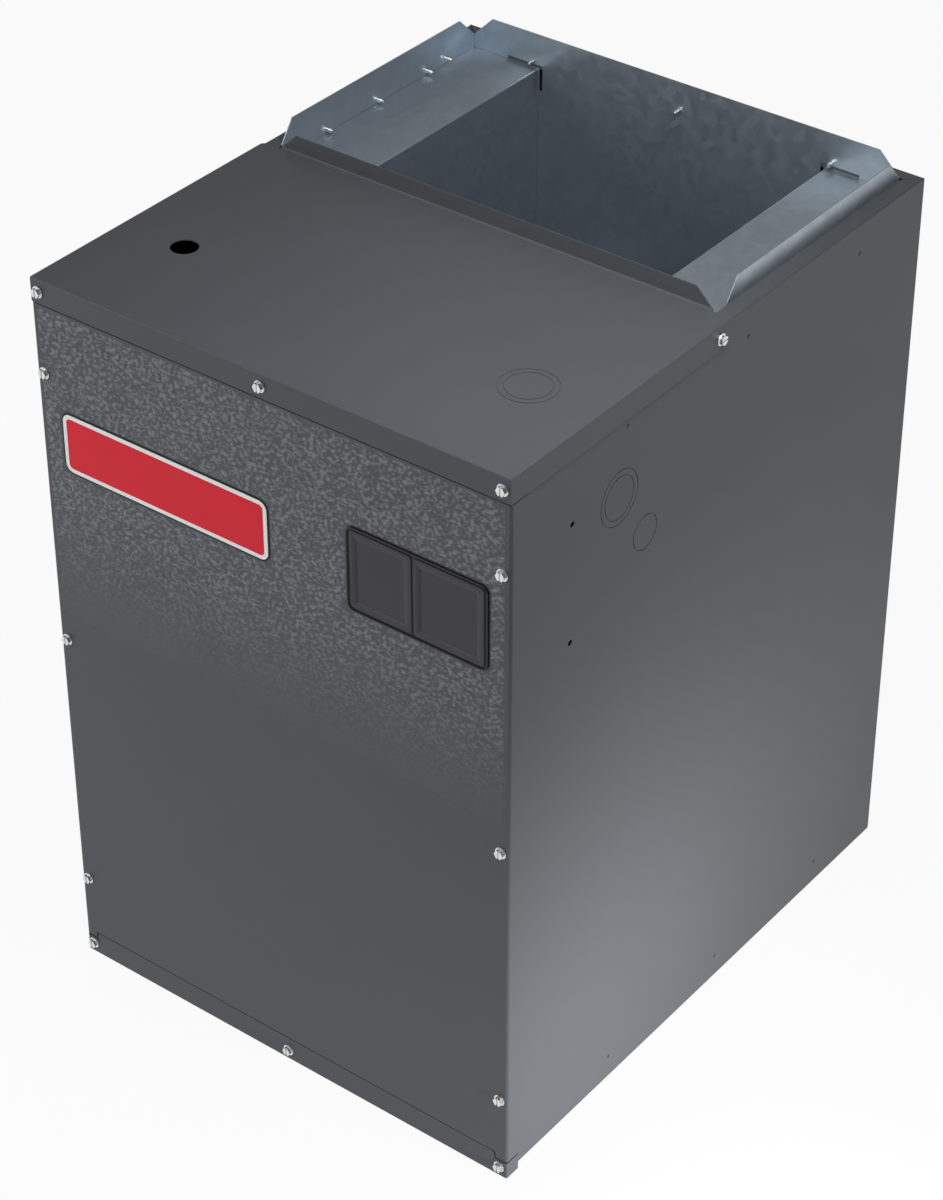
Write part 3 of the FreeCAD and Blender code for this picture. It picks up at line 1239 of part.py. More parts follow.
def capacitor():
    """Metal can with two tabs, and the strap that holds it to the left side plate."""
    low = AXIS_Z - v.can_long / 2
    top = AXIS_Z + v.can_long / 2
    parts = [
        rod("capacitor_can", v.can_radius, v.can_long, (CAN_X, CAN_Y, low), "+z"),
        rod("capacitor_rim", v.can_radius - 1.5, 1.5, (CAN_X, CAN_Y, top), "+z"),
    ]
    for n in (-1, 1):
        y = CAN_Y + v.can_radius * 0.4 * n
        tab_x = (CAN_X - 3, CAN_X + 3)
        parts.append(block(f"capacitor_tab_{n + 2}", tab_x, (y - 0.4, y + 0.4), (top, top + 11)))
    keep(fuse("capacitor", parts), "capacitor")
    z = (AXIS_Z - v.strap_wide / 2, AXIS_Z + v.strap_wide / 2)
    inner = v.can_radius + v.seat
    outer = inner + v.galv
    face = -PLATE_OUT
    sleeve = rod("strap_out", outer, v.strap_wide, (CAN_X, CAN_Y, z[0]), "+z")
    core = rod("strap_in", inner, v.strap_wide + 2, (CAN_X, CAN_Y, z[0] - 1), "+z")
    away = block("strap_away", (CAN_X, CAN_X + outer + 2), (CAN_Y - outer - 1, CAN_Y + outer + 1),
                 (z[0] - 1, z[1] + 1))
    bars = [cut("strap_half", cut("strap_hoop", sleeve, core), away)]
    for sign, name in ((-1, "front"), (1, "rear")):
        leg = ordered(CAN_Y + inner * sign, CAN_Y + outer * sign)
        foot = ordered(CAN_Y + inner * sign, CAN_Y + (outer + v.strap_foot) * sign)
        bars.append(block(f"strap_leg_{name}", (CAN_X, face), leg, z))
        bars.append(block(f"strap_foot_{name}", (face - v.galv, face), foot, z))
    holes = []
    for n, y in enumerate(strap_spots(), 1):
        holes.append(rod(f"strap_hole_{n}", HOLE, v.galv * 6, (face - v.galv * 3, y, AXIS_Z), "+x"))
    strap = cut("capacitor_strap", fuse("strap_bar", bars), fuse("strap_holes", holes))
    keep(strap, "capacitor_strap")


# Control space

TRAY_FACE = WALL_FRONT - v.tray_stand
BOARD_BACK = TRAY_FACE - v.board_stand
BOARD_FACE = BOARD_BACK - v.board_thick


def control_tray():
    """Folded tray on the partition: panel, two side folds and two feet."""
    left, right = TRAY_LEFT, TRAY_RIGHT
    foot = v.heater_lap * 2
    made = Piece("control_tray")
    made.pad("XY", TRAY_LOW, TRAY_HIGH, polygon(
        (left, TRAY_FACE), (right, TRAY_FACE), (right, WALL_FRONT), (right - v.galv, WALL_FRONT),
        (right - v.galv, TRAY_FACE + v.galv), (left + v.galv, TRAY_FACE + v.galv),
        (left + v.galv, WALL_FRONT), (left, WALL_FRONT)))
    feet = [rectangle(left, left + foot, TRAY_LOW, TRAY_LOW + foot),
            rectangle(right - foot, right, TRAY_HIGH - foot, TRAY_HIGH)]
    for outline in feet:
        made.pad("XZ", WALL_FRONT - v.galv, WALL_FRONT, outline)


BOARD_LEFT = TRAY_LEFT + v.board_margin
BOARD_RIGHT = TRAY_RIGHT - v.board_margin
BOARD_TOP = TRAY_HIGH - 6
BOARD_LOW = BOARD_TOP - v.board_tall
PLUG_Z = BOARD_LOW + v.plug_rise
PLUG_FACE = BOARD_FACE - 10


def control_board():
    """Fan control board on four posts, with two relays, a terminal row, a fuse and a plug."""
    wide = BOARD_RIGHT - BOARD_LEFT
    laminate = (BOARD_FACE, BOARD_BACK)
    parts = [block("board_laminate", (BOARD_LEFT, BOARD_RIGHT), laminate, (BOARD_LOW, BOARD_TOP))]
    post = 0
    for x in (BOARD_LEFT + 6, BOARD_RIGHT - 6):
        for z in (BOARD_LOW + 6, BOARD_TOP - 6):
            post += 1
            parts.append(rod(f"board_post_{post}", 3, v.board_stand, (x, TRAY_FACE, z), "-y"))
    relay_x = BOARD_LEFT + wide * 0.48
    for n, share in enumerate((0.15, 0.5), 1):
        z = BOARD_LOW + v.board_tall * share
        parts.append(block(f"board_relay_{n}", (relay_x, relay_x + v.relay_wide),
                           (BOARD_FACE - v.relay_deep, BOARD_FACE), (z, z + v.relay_tall)))
    row_x = BOARD_LEFT + wide * 0.8
    row_z = (BOARD_LOW + v.board_tall * 0.18, BOARD_LOW + v.board_tall * 0.72)
    parts.append(block("board_row", (row_x, row_x + wide * 0.13), (BOARD_FACE - 11, BOARD_FACE), row_z))
    fuse_z = BOARD_LOW + v.board_tall * 0.65
    parts.append(block("board_fuse", (BOARD_LEFT + wide * 0.12, BOARD_LEFT + wide * 0.34),
                       (BOARD_FACE - 12, BOARD_FACE), (fuse_z, fuse_z + 6)))
    parts.append(block("board_plug", (HARNESS_X - 9, HARNESS_X + 9), (PLUG_FACE, BOARD_FACE),
                       (PLUG_Z - 6, PLUG_Z + 6)))
    keep(fuse("control_board", parts), "control_board")


def transformer():
    """Laminated core with its foot straps, and a coil round the middle limb."""
    half = v.core_wide / 2
    x = TRAY_LEFT + half + 11
    z = TRAY_LOW + v.core_tall / 2 + 5
    rear = TRAY_FACE - v.core_lift
    front = rear - v.core_deep
    tall = v.core_tall / 2
    window = half - v.core_limb
    open_z = tall - v.core_limb
    body = block("core_block", (x - half, x + half), (front, rear), (z - tall, z + tall))
    gap = block("core_window", (x - window, x + window), (front - 1, rear + 1), (z - open_z, z + open_z))
    middle = block("core_middle", (x - v.core_limb, x + v.core_limb), (front, rear), (z - tall, z + tall))
    parts = [cut("core_frame", body, gap), middle]
    for n in (-1, 1):
        foot = (x + half * n - 3, x + half * n + 3)
        parts.append(block(f"core_foot_{n + 2}", foot, (front, TRAY_FACE), (z - 8, z + 8)))
    keep(fuse("transformer_core", parts), "transformer_core")
    play = v.seat
    reach = window - play
    coil_z = open_z - play
    outer = block("coil_outer", (x - reach, x + reach), (front - 10, TRAY_FACE - play),
                  (z - coil_z, z + coil_z))
    limb = v.core_limb + play
    inner = block("coil_inner", (x - limb, x + limb), (front - play, rear + play), (z - tall, z + tall))
    keep(cut("transformer_coil", outer, inner), "transformer_coil")


def terminal_block():
    """Screw terminals between fins, on the tray beside the transformer."""
    count = int(v.ways.number)
    left = TRAY_LEFT + v.core_wide + 24
    right = TRAY_RIGHT - 9
    pitch = (right - left - 2) / v.ways
    z = (TRAY_LOW + 10, TRAY_LOW + 10 + v.terminal_tall)
    face = TRAY_FACE - v.terminal_deep
    parts = [block("terminal_body", (left, right), (face, TRAY_FACE), z)]
    for n in range(count + 1):
        x = left + 1 + pitch * n
        parts.append(block(f"terminal_fin_{n}", (x - 1, x + 1), (face - v.fin_deep, face), z))
    for n in range(count):
        x = left + 1 + pitch * (n + 0.5)
        for row, share in enumerate((0.25, 0.75)):
            spot = (x, face, z[0] + v.terminal_tall * share)
            parts.append(rod(f"terminal_head_{n}_{row}", pitch * 0.28, 2.5, spot, "-y"))
    keep(fuse("terminal_block", parts), "terminal_block")


def motor_harness():
    """Sleeved leads from the board through the deck to the top of the motor shell."""
    x = HARNESS_X.number
    bend = v.harness_bend.number
    start = PLUG_FACE.number - v.seat.number
    high = PLUG_Z.number
    drop = -v.harness_y.number
    motor_y = AXIS_Y.number
    end = AXIS_Z.number + v.motor_radius.number + v.seat.number
    low = AXIS_Z.number + v.motor_radius.number + v.harness_lift.number
    ahead, behind, down = Vector(0, -1, 0), Vector(0, 1, 0), Vector(0, 0, -1)
    corners = [
        (Vector(x, drop, high), ahead, down),
        (Vector(x, drop, low), down, behind),
        (Vector(x, motor_y, low), behind, down),
    ]
    edges = []
    place = Vector(x, start, high)
    for corner, enters, leaves in corners:
        first = corner - enters * bend
        last = corner + leaves * bend
        centre = first + leaves * bend
        middle = centre + (corner - centre) * math.sqrt(0.5)
        edges.append(Part.makeLine(place, first))
        edges.append(Part.Arc(first, middle, last).toShape())
        place = last
    edges.append(Part.makeLine(place, Vector(x, motor_y, end)))
    ring_edge = Part.makeCircle(v.harness_radius.number, Vector(x, start, high), behind)
    sleeve = Part.Wire(edges).makePipeShell([Part.Wire(ring_edge)], True, False)
    keep(shape_of("motor_harness", sleeve), "motor_harness")


def deck_grommet():
    """Rubber bush in the deck round the harness."""
    bore = v.harness_radius + v.seat
    hole = v.grommet_hole - v.screw_play
    low, high = DECK_UNDER - v.seat, DECK + v.seat
    made = Piece("deck_grommet")
    made.turn("XZ", "V_Axis", polygon(
        (bore, low - 2), (hole + 3, low - 2), (hole + 3, low), (hole, low), (hole, high),
        (hole + 3, high), (hole + 3, high + 2), (bore, high + 2)))
    made.place(HARNESS_X, -v.harness_y, 0)


# Insulation

def liners():
    """Fibre boards on the blower compartment's sides and back."""
    low = v.pan_rise + 1
    high = DECK - v.deck_fold - 1
    rear_face = BACK - v.skin
    front = FRONT + v.liner_front
    rear = rear_face - v.liner - 0.5
    for side, label in ((-1, "liner_left"), (1, "liner_right")):
        x = ordered((IN_X - v.liner) * side, IN_X * side)
        keep(block(label, x, (front, rear), (low, high)), label)
    half = OUT_X - v.rear_fold - v.seat
    back = block("liner_back", (-half, half), (rear_face - v.liner, rear_face), (low, DECK_UNDER - 1))
    keep(back, "liner_back")


# Door

def door_panel():
    """Painted access door: face with its cover opening, sides folded back over the side panels."""
    inner = OUT_X + v.door_gap
    out = inner + v.skin
    end = DOOR_FACE + v.door_return
    top = v.height - v.lip - v.door_top_gap
    corner = TAB_X + v.slit
    made = Piece("door_panel")
    made.pad("XY", v.door_low, top, polygon(
        (-out, end), (-out, DOOR_FACE), (out, DOOR_FACE), (out, end),
        (inner, end), (inner, FRONT), (-inner, FRONT), (-inner, end)))
    for radius, x, y in ((v.door_round, out, DOOR_FACE), (v.door_round - v.skin, inner, FRONT)):
        made.round(radius, lambda e: along(e, "z", x=x, y=y) or along(e, "z", x=-x, y=y))
    outlines = [rectangle(-corner, corner, v.door_low - 1, v.door_step),
                rectangle(*cover_plug_x(), *cover_plug_z())]
    for outline in outlines:
        made.pocket("XZ", DOOR_FACE - 1, FRONT + 1, outline)
    spots = [circle(SCREW_X * s, z, HOLE) for s in (-1, 1) for z in DOOR_SCREWS_Z]
    made.pocket("XZ", DOOR_FACE - 1, FRONT + 1, *spots)
    made.round(v.skin * 0.8, lambda e: along(e, "x", y=DOOR_FACE, z=top))


COVER_RIGHT = OUT_X - v.cover_edge
COVER_LEFT = COVER_RIGHT - v.cover_wide
COVER_LOW = v.height - v.cover_drop
COVER_HIGH = COVER_LOW + v.cover_tall


def cover_plug_x():
    return COVER_LEFT + 6, OUT_X - v.landing - 2


def cover_plug_z():
    return COVER_LOW + 6, COVER_HIGH - 6


def breaker_cover():
    """Black plastic cover: rim, groove, two square fields and a plug through the door."""
    face = DOOR_FACE - v.cover_rise
    floor = DOOR_FACE - v.seat * 2
    field = DOOR_FACE - v.cover_rise * 0.85
    rim, gap, inset = v.cover_border, v.cover_groove, v.cover_inset
    edge = rim + gap
    split = COVER_LEFT + v.cover_split
    made = Piece("breaker_cover")
    made.pad("XZ", face, DOOR_FACE, rounded(COVER_LEFT, COVER_RIGHT, COVER_LOW, COVER_HIGH, v.cover_round))
    made.pocket("XZ", face, floor, rounded(
        COVER_LEFT + rim, COVER_RIGHT - rim, COVER_LOW + rim, COVER_HIGH - rim, v.cover_round - rim / 2))
    panes = ((COVER_LEFT + edge, split - gap / 2), (split + gap / 2, COVER_RIGHT - edge))
    for x in panes:
        made.pad("XZ", field, floor, rounded(*x, COVER_LOW + edge, COVER_HIGH - edge, gap))
        made.pocket("XZ", field, field + v.seat, rounded(
            x[0] + inset, x[1] - inset, COVER_LOW + edge + inset, COVER_HIGH - edge - inset, gap / 2))
    plug_x, plug_z = cover_plug_x(), cover_plug_z()
    for low, shrink in ((DOOR_FACE, v.screw_play), (DOOR_FACE + v.skin, gap)):
        outline = rectangle(plug_x[0] + shrink, plug_x[1] - shrink, plug_z[0] + shrink, plug_z[1] - shrink)
        feature = made.pad if low is DOOR_FACE else made.pocket
        feature("XZ", low, FRONT + v.cover_plug, outline)


def badge_plate():
    """Blank plate on the door."""
    left = -OUT_X + v.badge_edge
    low = v.height - v.badge_drop
    made = Piece("badge_plate")
    made.pad("XZ", DOOR_FACE - v.badge_thick, DOOR_FACE, rounded(
        left, left + v.width * v.badge_share, low, low + v.badge_tall, v.badge_round))


def door_liner():
    """Fibre board on the lower part of the door."""
    half = OUT_X - v.door_liner_edge
    board = block("door_liner", (-half, half), (FRONT, FRONT + v.door_liner_thick),
                  (v.door_liner_low, DECK - v.door_liner_drop))
    keep(board, "door_liner")


# Fasteners

def screws():
    """Hex washer head screws, one group for each place they serve."""
    long = v.screw_long
    outer = []
    for n in (-1, 0, 1):
        x = SCREW_X * n
        outer.append(screw(f"cap_screw_{n + 2}", (x, DOOR_FACE, LIP_SCREW_Z), "-y", long))
        outer.append(screw(f"base_screw_{n + 2}", (x, DOOR_FACE, v.base_screw_z), "-y", long))
    side_x = OUT_X + v.skin
    outer.append(screw("lip_screw_left", (-side_x, -v.side_screw_y, LIP_SCREW_Z), "-x", long))
    outer.append(screw("lip_screw_right", (side_x, -v.side_screw_y, LIP_SCREW_Z), "+x", long))
    keep(bundle("cabinet_screws", outer), "cabinet_screws")
    door = []
    for side, name in ((-1, "left"), (1, "right")):
        for n, z in enumerate(DOOR_SCREWS_Z, 1):
            door.append(screw(f"door_screw_{name}_{n}", (SCREW_X * side, DOOR_FACE, z), "-y", long))
    keep(bundle("door_screws", door), "door_screws")
    collar = []
    short, hem_x = v.collar_screw_long, STRIP_X + v.skin
    for n, (y, z) in enumerate(collar_spots(), 1):
        collar.append(screw(f"collar_screw_left_{n}", (-hem_x, y, z), "-x", short))
        collar.append(screw(f"collar_screw_right_{n}", (hem_x, y, z), "+x", short))
    for n in (-1, 0, 1):
        spot = (BACK_SCREW_X * n, STRIP_Y + v.skin, LAST_SCREW_Z)
        collar.append(screw(f"collar_screw_back_{n + 2}", spot, "+y", short))
    keep(bundle("collar_screws", collar), "collar_screws")
    inner = []
    for n, (x, z) in enumerate(heater_spots(), 1):
        inner.append(screw(f"heater_screw_{n}", (x, WALL_FRONT - v.galv, z), "-y", long))
    under = PLATE_TOP - v.galv * 2 - v.seat
    for side, name in ((-1, "left"), (1, "right")):
        for n, (x, y) in enumerate(rail_spots(side), 1):
            inner.append(screw(f"rail_screw_{name}_{n}", (x, y, under), "-z", v.rail_gap))
    for n, y in enumerate(strap_spots(), 1):
        inner.append(screw(f"strap_screw_{n}", (-PLATE_OUT - v.galv, y, AXIS_Z), "-x", long / 2))
    keep(bundle("inner_screws", inner), "inner_screws")


def build():
    for side, label in ((-1, "side_panel_left"), (1, "side_panel_right")):
        side_panel(label, side)
    back_panel()
    top_cap()
    base_front_rail()
    base_pan()
    front_header()
    collar_leaf("collar_left", -1, v.collar_start_left)
    collar_leaf("collar_right", 1, v.collar_start_right)
    duct_back()
    duct_wall("duct_wall_left", -1)
    duct_wall("duct_wall_right", 1)
    partition()
    heater_blank_plate()
    blower_deck()
    blower_rails()
    housing_side("housing_side_left", -1)
    housing_side("housing_side_right", 1)
    scroll_wrap()
    cut_off()
    inlet_ring("inlet_ring_left", -1)
    inlet_ring("inlet_ring_right", 1)
    wheel_blades()
    wheel()
    motor()
    belly_band()
    motor_arms()
    capacitor()
    control_tray()
    control_board()
    transformer()
    terminal_block()
    motor_harness()
    deck_grommet()
    liners()
    door_panel()
    breaker_cover()
    badge_plate()
    door_liner()
    screws()


def check():
    """Every object is up to date and every sub-part is a sound solid or group of solids."""
    faults = []
    for thing in doc.Objects:
        if "Invalid" in thing.State or "Error" in thing.State:
            faults.append(f"{thing.Label}: {thing.State}")
    for node in NODES:
        if node.Shape.isNull() or not node.Shape.isValid() or not node.Shape.Solids:
            faults.append(f"{node.Label}: shape")
    if faults:
        raise RuntimeError("; ".join(faults))


build()
doc.recompute()
check()
os.makedirs("parts", exist_ok=True)
for node in NODES:
    node.Shape.exportStep(f"parts/{node.Label}.step")
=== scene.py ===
import math

import bmesh
import bpy
from mathutils import Euler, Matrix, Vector, noise


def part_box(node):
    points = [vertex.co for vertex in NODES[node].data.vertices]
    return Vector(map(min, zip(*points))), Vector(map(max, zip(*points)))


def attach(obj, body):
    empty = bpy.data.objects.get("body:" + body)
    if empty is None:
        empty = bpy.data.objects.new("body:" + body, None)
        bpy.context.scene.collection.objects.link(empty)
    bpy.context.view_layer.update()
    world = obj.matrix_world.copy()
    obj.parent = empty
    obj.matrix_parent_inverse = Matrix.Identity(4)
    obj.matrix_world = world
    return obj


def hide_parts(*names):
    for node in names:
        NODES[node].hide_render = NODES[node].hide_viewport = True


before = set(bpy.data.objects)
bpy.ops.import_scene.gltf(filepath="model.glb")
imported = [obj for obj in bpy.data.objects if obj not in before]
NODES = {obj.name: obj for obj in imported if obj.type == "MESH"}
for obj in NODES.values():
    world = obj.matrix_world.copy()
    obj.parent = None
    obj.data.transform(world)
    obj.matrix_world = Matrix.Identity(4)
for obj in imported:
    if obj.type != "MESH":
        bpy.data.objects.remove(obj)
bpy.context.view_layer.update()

bl_info = {
    "name": "Modular blower finishes",
    "version": (1, 0, 0),
    "blender": (4, 5, 0),
    "location": "View3D > Sidebar > Blower",
    "description": "Finishes, soft pieces and small fittings of a cabinet blower, built round its packed frame",
    "category": "Object",
}

MM = 0.001
WAVE_PERIOD = math.pi / 10  # distance between the lines of a wave texture of scale 1
LEAST_CORNER = 0.3 * MM


def linear(colour):
    """An sRGB hex value as linear red, green, blue and alpha."""
    parts = [int(colour[k:k + 2], 16) / 255 for k in (1, 3, 5)]
    return tuple(c / 12.92 if c <= 0.04045 else ((c + 0.055) / 1.055) ** 2.4 for c in parts) + (1.0,)


def colour(name, description, default):
    return bpy.props.FloatVectorProperty(
        name=name, description=description, default=linear(default), subtype="COLOR", size=4, min=0, max=1)


def length(name, description, millimetres):
    return bpy.props.FloatProperty(
        name=name, description=description, default=millimetres * MM, unit="LENGTH", min=0, precision=5)


class BlowerColours(bpy.types.PropertyGroup):
    """Colours of the finishes."""

    cabinet: colour("Cabinet grey", "Coil coat on the shell, the cap and the door", "#4e5155")
    zinc: colour("Zinc", "Bare galvanised sheet", "#b6c0c9")
    badge_field: colour("Badge field", "Printed middle of the badge", "#e2182e")
    badge_rim: colour("Badge rim", "Printed border of the badge", "#f8f8f8")
    cover: colour("Breaker cover", "Fields of the moulded cover in the door", "#302f32")
    facing: colour("Insulation facing", "Glass mat on the insulation", "#26272a")
    wool: colour("Insulation edge", "Cut glass wool", "#b59a55")
    floor: colour("Floor", "Studio floor", "#f4f4f4")


class BlowerSizes(bpy.types.PropertyGroup):
    """Sizes of the surface detail and of the pieces built here."""

    pebble: length("Pebble", "Spacing of the door's stucco emboss", 5.2)
    relief: length("Relief", "Height of the door's stucco emboss", 0.7)
    margin: length("Smooth margin", "Plain strip at each side of the emboss", 7)
    fade: length("Emboss end", "Height above the floor where the emboss begins to show", 345)
    spangle: length("Spangle", "Width of a zinc crystal", 7)
    rim: length("Badge rim", "Width of the badge's border", 3.6)
    backing: length("Badge backing", "Dark edge that shows round the badge", 1.5)
    corner: length("Badge corner", "Corner radius of the badge", 9)
    square: length("Cover square", "Border round the sunk squares of the breaker cover", 6.5)
    washer: length("Washer", "Radius of the washers that hold the insulation", 13)
    sleeve: length("Harness", "Radius of the motor harness in its sleeve", 4)


def colours():
    return bpy.context.scene.blower_colours


def sizes():
    return bpy.context.scene.blower_sizes


# Materials

def add(tree, kind, sockets=None, **settings):
    """Adds a node with its settings, and gives each named or numbered input a value or a link."""
    made = tree.nodes.new("ShaderNode" + kind)
    for name, value in settings.items():
        setattr(made, name, value)
    for key, value in (sockets or {}).items():
        if isinstance(value, bpy.types.Node):
            value = value.outputs[0]
        if isinstance(value, bpy.types.NodeSocket):
            tree.links.new(value, made.inputs[key])
        else:
            made.inputs[key].default_value = value
    return made


def start(name):
    """A material with an empty tree, and the place of each point in the frame."""
    made = bpy.data.materials.new(name)
    made.use_nodes = True
    made.node_tree.nodes.clear()
    return made, made.node_tree, add(made.node_tree, "TexCoord").outputs["Object"]


def paint(material, tree, sockets):
    """The material, ended with a principled shader of those values."""
    add(tree, "OutputMaterial", {"Surface": add(tree, "BsdfPrincipled", sockets)})
    return material


def finish(maker):
    """The material of that maker, made once."""
    return bpy.data.materials.get(maker.__name__) or maker(maker.__name__)


def shade(colour_value, factor):
    """A colour, lighter or darker by a factor."""
    return tuple(min(1.0, c * factor) for c in colour_value[:3]) + (1.0,)


def between(tree, share, first, second):
    """A colour that goes from the first to the second."""
    return add(tree, "Mix", {0: share, 6: first, 7: second}, data_type="RGBA").outputs[2]


def span(tree, value, low, high, first=0.3, last=0.7):
    """A value carried to the range from low to high; most of a noise lies between the two defaults."""
    return add(tree, "MapRange", {
        "Value": value, "From Min": first, "From Max": last, "To Min": low, "To Max": high})


def grains(tree, place, size, detail=2.0, **sockets):
    """Noise with grains of about that many millimetres."""
    return add(tree, "TexNoise", {"Vector": place, "Scale": 1 / (size * MM), "Detail": detail, **sockets})


def lines(tree, place, apart, direction="X", profile="SIN", **sockets):
    """Parallel lines, that many millimetres apart."""
    wave = add(tree, "TexWave", {"Vector": place, "Scale": WAVE_PERIOD / (apart * MM), **sockets},
               bands_direction=direction, wave_profile=profile)
    return wave.outputs[1]


def strayed(tree, place, wander, reach):
    """Places moved about by a noise, up to that many millimetres."""
    return add(tree, "VectorMath", {0: wander.outputs["Color"], 1: (reach * MM,) * 3, 2: place},
               operation="MULTIPLY_ADD")


def bumps(tree, height, strength, depth):
    """Normals of a relief that is that many millimetres deep."""
    return add(tree, "Bump", {"Strength": strength, "Distance": depth * MM, "Height": height})


def coil_coat(name, sheen, valley=None, top=None):
    # Polyester coil coat on galvanised sheet: rolled on and baked, so satin, with a faint peel and cloudy marks.
    # The roughness keeps to one side of 0.274: a range across it comes out blotched after denoising.
    material, tree, place = start(name)
    base = tuple(colours().cabinet)
    cloud = grains(tree, place, 140, 4.0, Roughness=0.6)
    skin = between(tree, cloud, shade(base, 0.93), shade(base, 1.07))
    if valley is not None:
        # painted highlight: the tops of the emboss are painted lighter than its valleys, standing in for the glints
        # of light on the pebbles; drawn strong so that it shows
        depth = add(tree, "SeparateXYZ", {0: place}).outputs["Y"]
        painted_highlight = span(tree, depth, 1.0, 2.6, valley, top)
        skin = add(tree, "VectorMath", {0: skin, "Scale": painted_highlight}, operation="SCALE").outputs[0]
    # the peel is about 1 mm on the sheet; drawn at 2.5 mm so that it shows
    peel = grains(tree, place, 2.5)
    return paint(material, tree, {
        "Base Color": skin, "Roughness": span(tree, cloud, sheen, sheen + 0.1), "IOR": 1.5,
        "Specular IOR Level": 0.21, "Normal": bumps(tree, peel, 0.12, 0.05)})


def coil_coated_steel(name):
    return coil_coat(name, 0.28)


def embossed_coil_coated_steel(name):
    # the rollers that press the stucco in also leave it glossier than plain sheet
    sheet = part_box("door_panel")[0].y
    return coil_coat(name, 0.17, sheet, sheet - sizes().relief)


def spangled_galvanised_sheet(name):
    # Hot-dip zinc: frozen crystals, each tilted a little, under a thin dull film that scatters part of the light
    material, tree, place = start(name)
    base = tuple(colours().zinc)
    bent = strayed(tree, place, grains(tree, place, 14), 5)
    crystal = add(tree, "TexVoronoi", {"Vector": bent, "Scale": 1 / sizes().spangle}).outputs["Color"]
    parts = add(tree, "SeparateColor", {0: crystal}).outputs
    tone = between(tree, parts[0], shade(base, 0.95), shade(base, 1.05))
    cloud = grains(tree, place, 45, 5.0, Roughness=0.65)
    dull = span(tree, cloud, 0.0, 1.0, 0.3, 0.75)
    film = between(tree, dull, tone, shade(base, 0.88))
    rough = span(tree, parts[1], 0.28, 0.38, 0.0, 1.0)
    rougher = add(tree, "Math", {0: dull, 1: 0.08, 2: rough}, operation="MULTIPLY_ADD")
    lean = add(tree, "VectorMath", {0: crystal, 1: (0.5,) * 3}, operation="SUBTRACT")
    facet = add(tree, "VectorMath", {0: lean, 1: (0.03,) * 3, 2: add(tree, "NewGeometry").outputs["Normal"]},
                operation="MULTIPLY_ADD")
    tilt = add(tree, "VectorMath", {0: facet}, operation="NORMALIZE")
    return paint(material, tree, {"Base Color": film, "Metallic": 0.85, "Roughness": rougher, "Normal": tilt})


def zinc_plated_steel(name):
    # Electroplated zinc with a clear passivate: bright and slightly uneven
    material, tree, place = start(name)
    mottle = grains(tree, place, 3, 3.0)
    return paint(material, tree, {
        "Base Color": between(tree, mottle, linear("#c6c7c4"), linear("#eceeee")), "Metallic": 1.0,
        "Roughness": span(tree, mottle, 0.16, 0.32)})


def moulded_abs(name, base):
    # Injection-moulded ABS with a spark-eroded grain: matt, lifting to grey where light grazes it
    material, tree, place = start(name)
    rub = grains(tree, place, 30, 3.0)
    # the grain is about 0.3 mm; drawn at 1.4 mm so that it shows
    grain = grains(tree, place, 1.4)
    return paint(material, tree, {
        "Base Color": between(tree, rub, shade(base, 0.85), shade(base, 1.25)),
        "Roughness": span(tree, rub, 0.42, 0.54), "IOR": 1.54, "Specular IOR Level": 0.28,
        "Normal": bumps(tree, grain, 0.25, 0.06)})


def grey_moulded_abs(name):
    return moulded_abs(name, tuple(colours().cover))


def black_moulded_abs(name):
    return moulded_abs(name, linear("#0e0e0f"))


def white_moulded_nylon(name):
    # moulded like the ABS, and as matt
    return moulded_abs(name, linear("#d8d5ca"))


def lacquered_ceramic(name):
    # Small parts dipped in lacquer: buff, glossy, slightly uneven in thickness
    material, tree, place = start(name)
    pool = grains(tree, place, 2)
    return paint(material, tree, {
        "Base Color": between(tree, pool, linear("#b08f5c"), linear("#d0b483")), "Roughness": 0.25,
        "Normal": bumps(tree, pool, 0.2, 0.05)})


def printed_film(name, base):
    # Screen-printed polyester film: flat ink under a clear, fairly glossy face with a slight waviness
    material, tree, place = start(name)
    wave = grains(tree, place, 22)
    return paint(material, tree, {
        "Base Color": between(tree, wave, shade(base, 0.94), shade(base, 1.04)),
        "Roughness": span(tree, wave, 0.28, 0.34), "IOR": 1.49, "Specular IOR Level": 0.2,
        "Normal": bumps(tree, wave, 0.2, 0.05)})


def red_printed_film(name):
    return printed_film(name, tuple(colours().badge_field))


def white_printed_film(name):
    return printed_film(name, tuple(colours().badge_rim))


def black_backing_and_shade_film(name):
    # near-black film round the badge: partly the plate's own dark edge, partly painted shade for the badge's shadow
    # at its edges
    return printed_film(name, linear("#060607"))


def glass_mat_facing(name):
    # Wet-laid glass mat with a dark binder: short fibres crossing at all angles, matt, with paler specks
    material, tree, place = start(name)
    base = tuple(colours().facing)
    bent = strayed(tree, place, grains(tree, place, 9, 3.0, Distortion=1.5), 12)
    # fibres are about 0.02 mm thick; drawn as lines about 0.5 mm wide and 4 mm apart so that they show
    strand = add(tree, "TexVoronoi", {"Vector": bent, "Scale": 1 / (4 * MM)}, feature="DISTANCE_TO_EDGE")
    fibre = span(tree, strand, 1.0, 0.0, 0.0, 0.06)
    return paint(material, tree, {
        "Base Color": between(tree, fibre, base, shade(base, 2.1)), "Roughness": 0.9, "Sheen Weight": 0.15,
        "Normal": bumps(tree, fibre, 0.5, 0.15)})


def cut_glass_wool(name):
    # Glass wool at a knife cut: layered amber fibres, matt, lighter where they stand out
    material, tree, place = start(name)
    base = tuple(colours().wool)
    layer = grains(tree, place, 2.2, 4.0, Roughness=0.7)
    return paint(material, tree, {
        "Base Color": between(tree, layer, shade(base, 0.55), shade(base, 1.3)), "Roughness": 0.95,
        "Sheen Weight": 0.3, "Normal": bumps(tree, layer, 0.8, 0.5)})


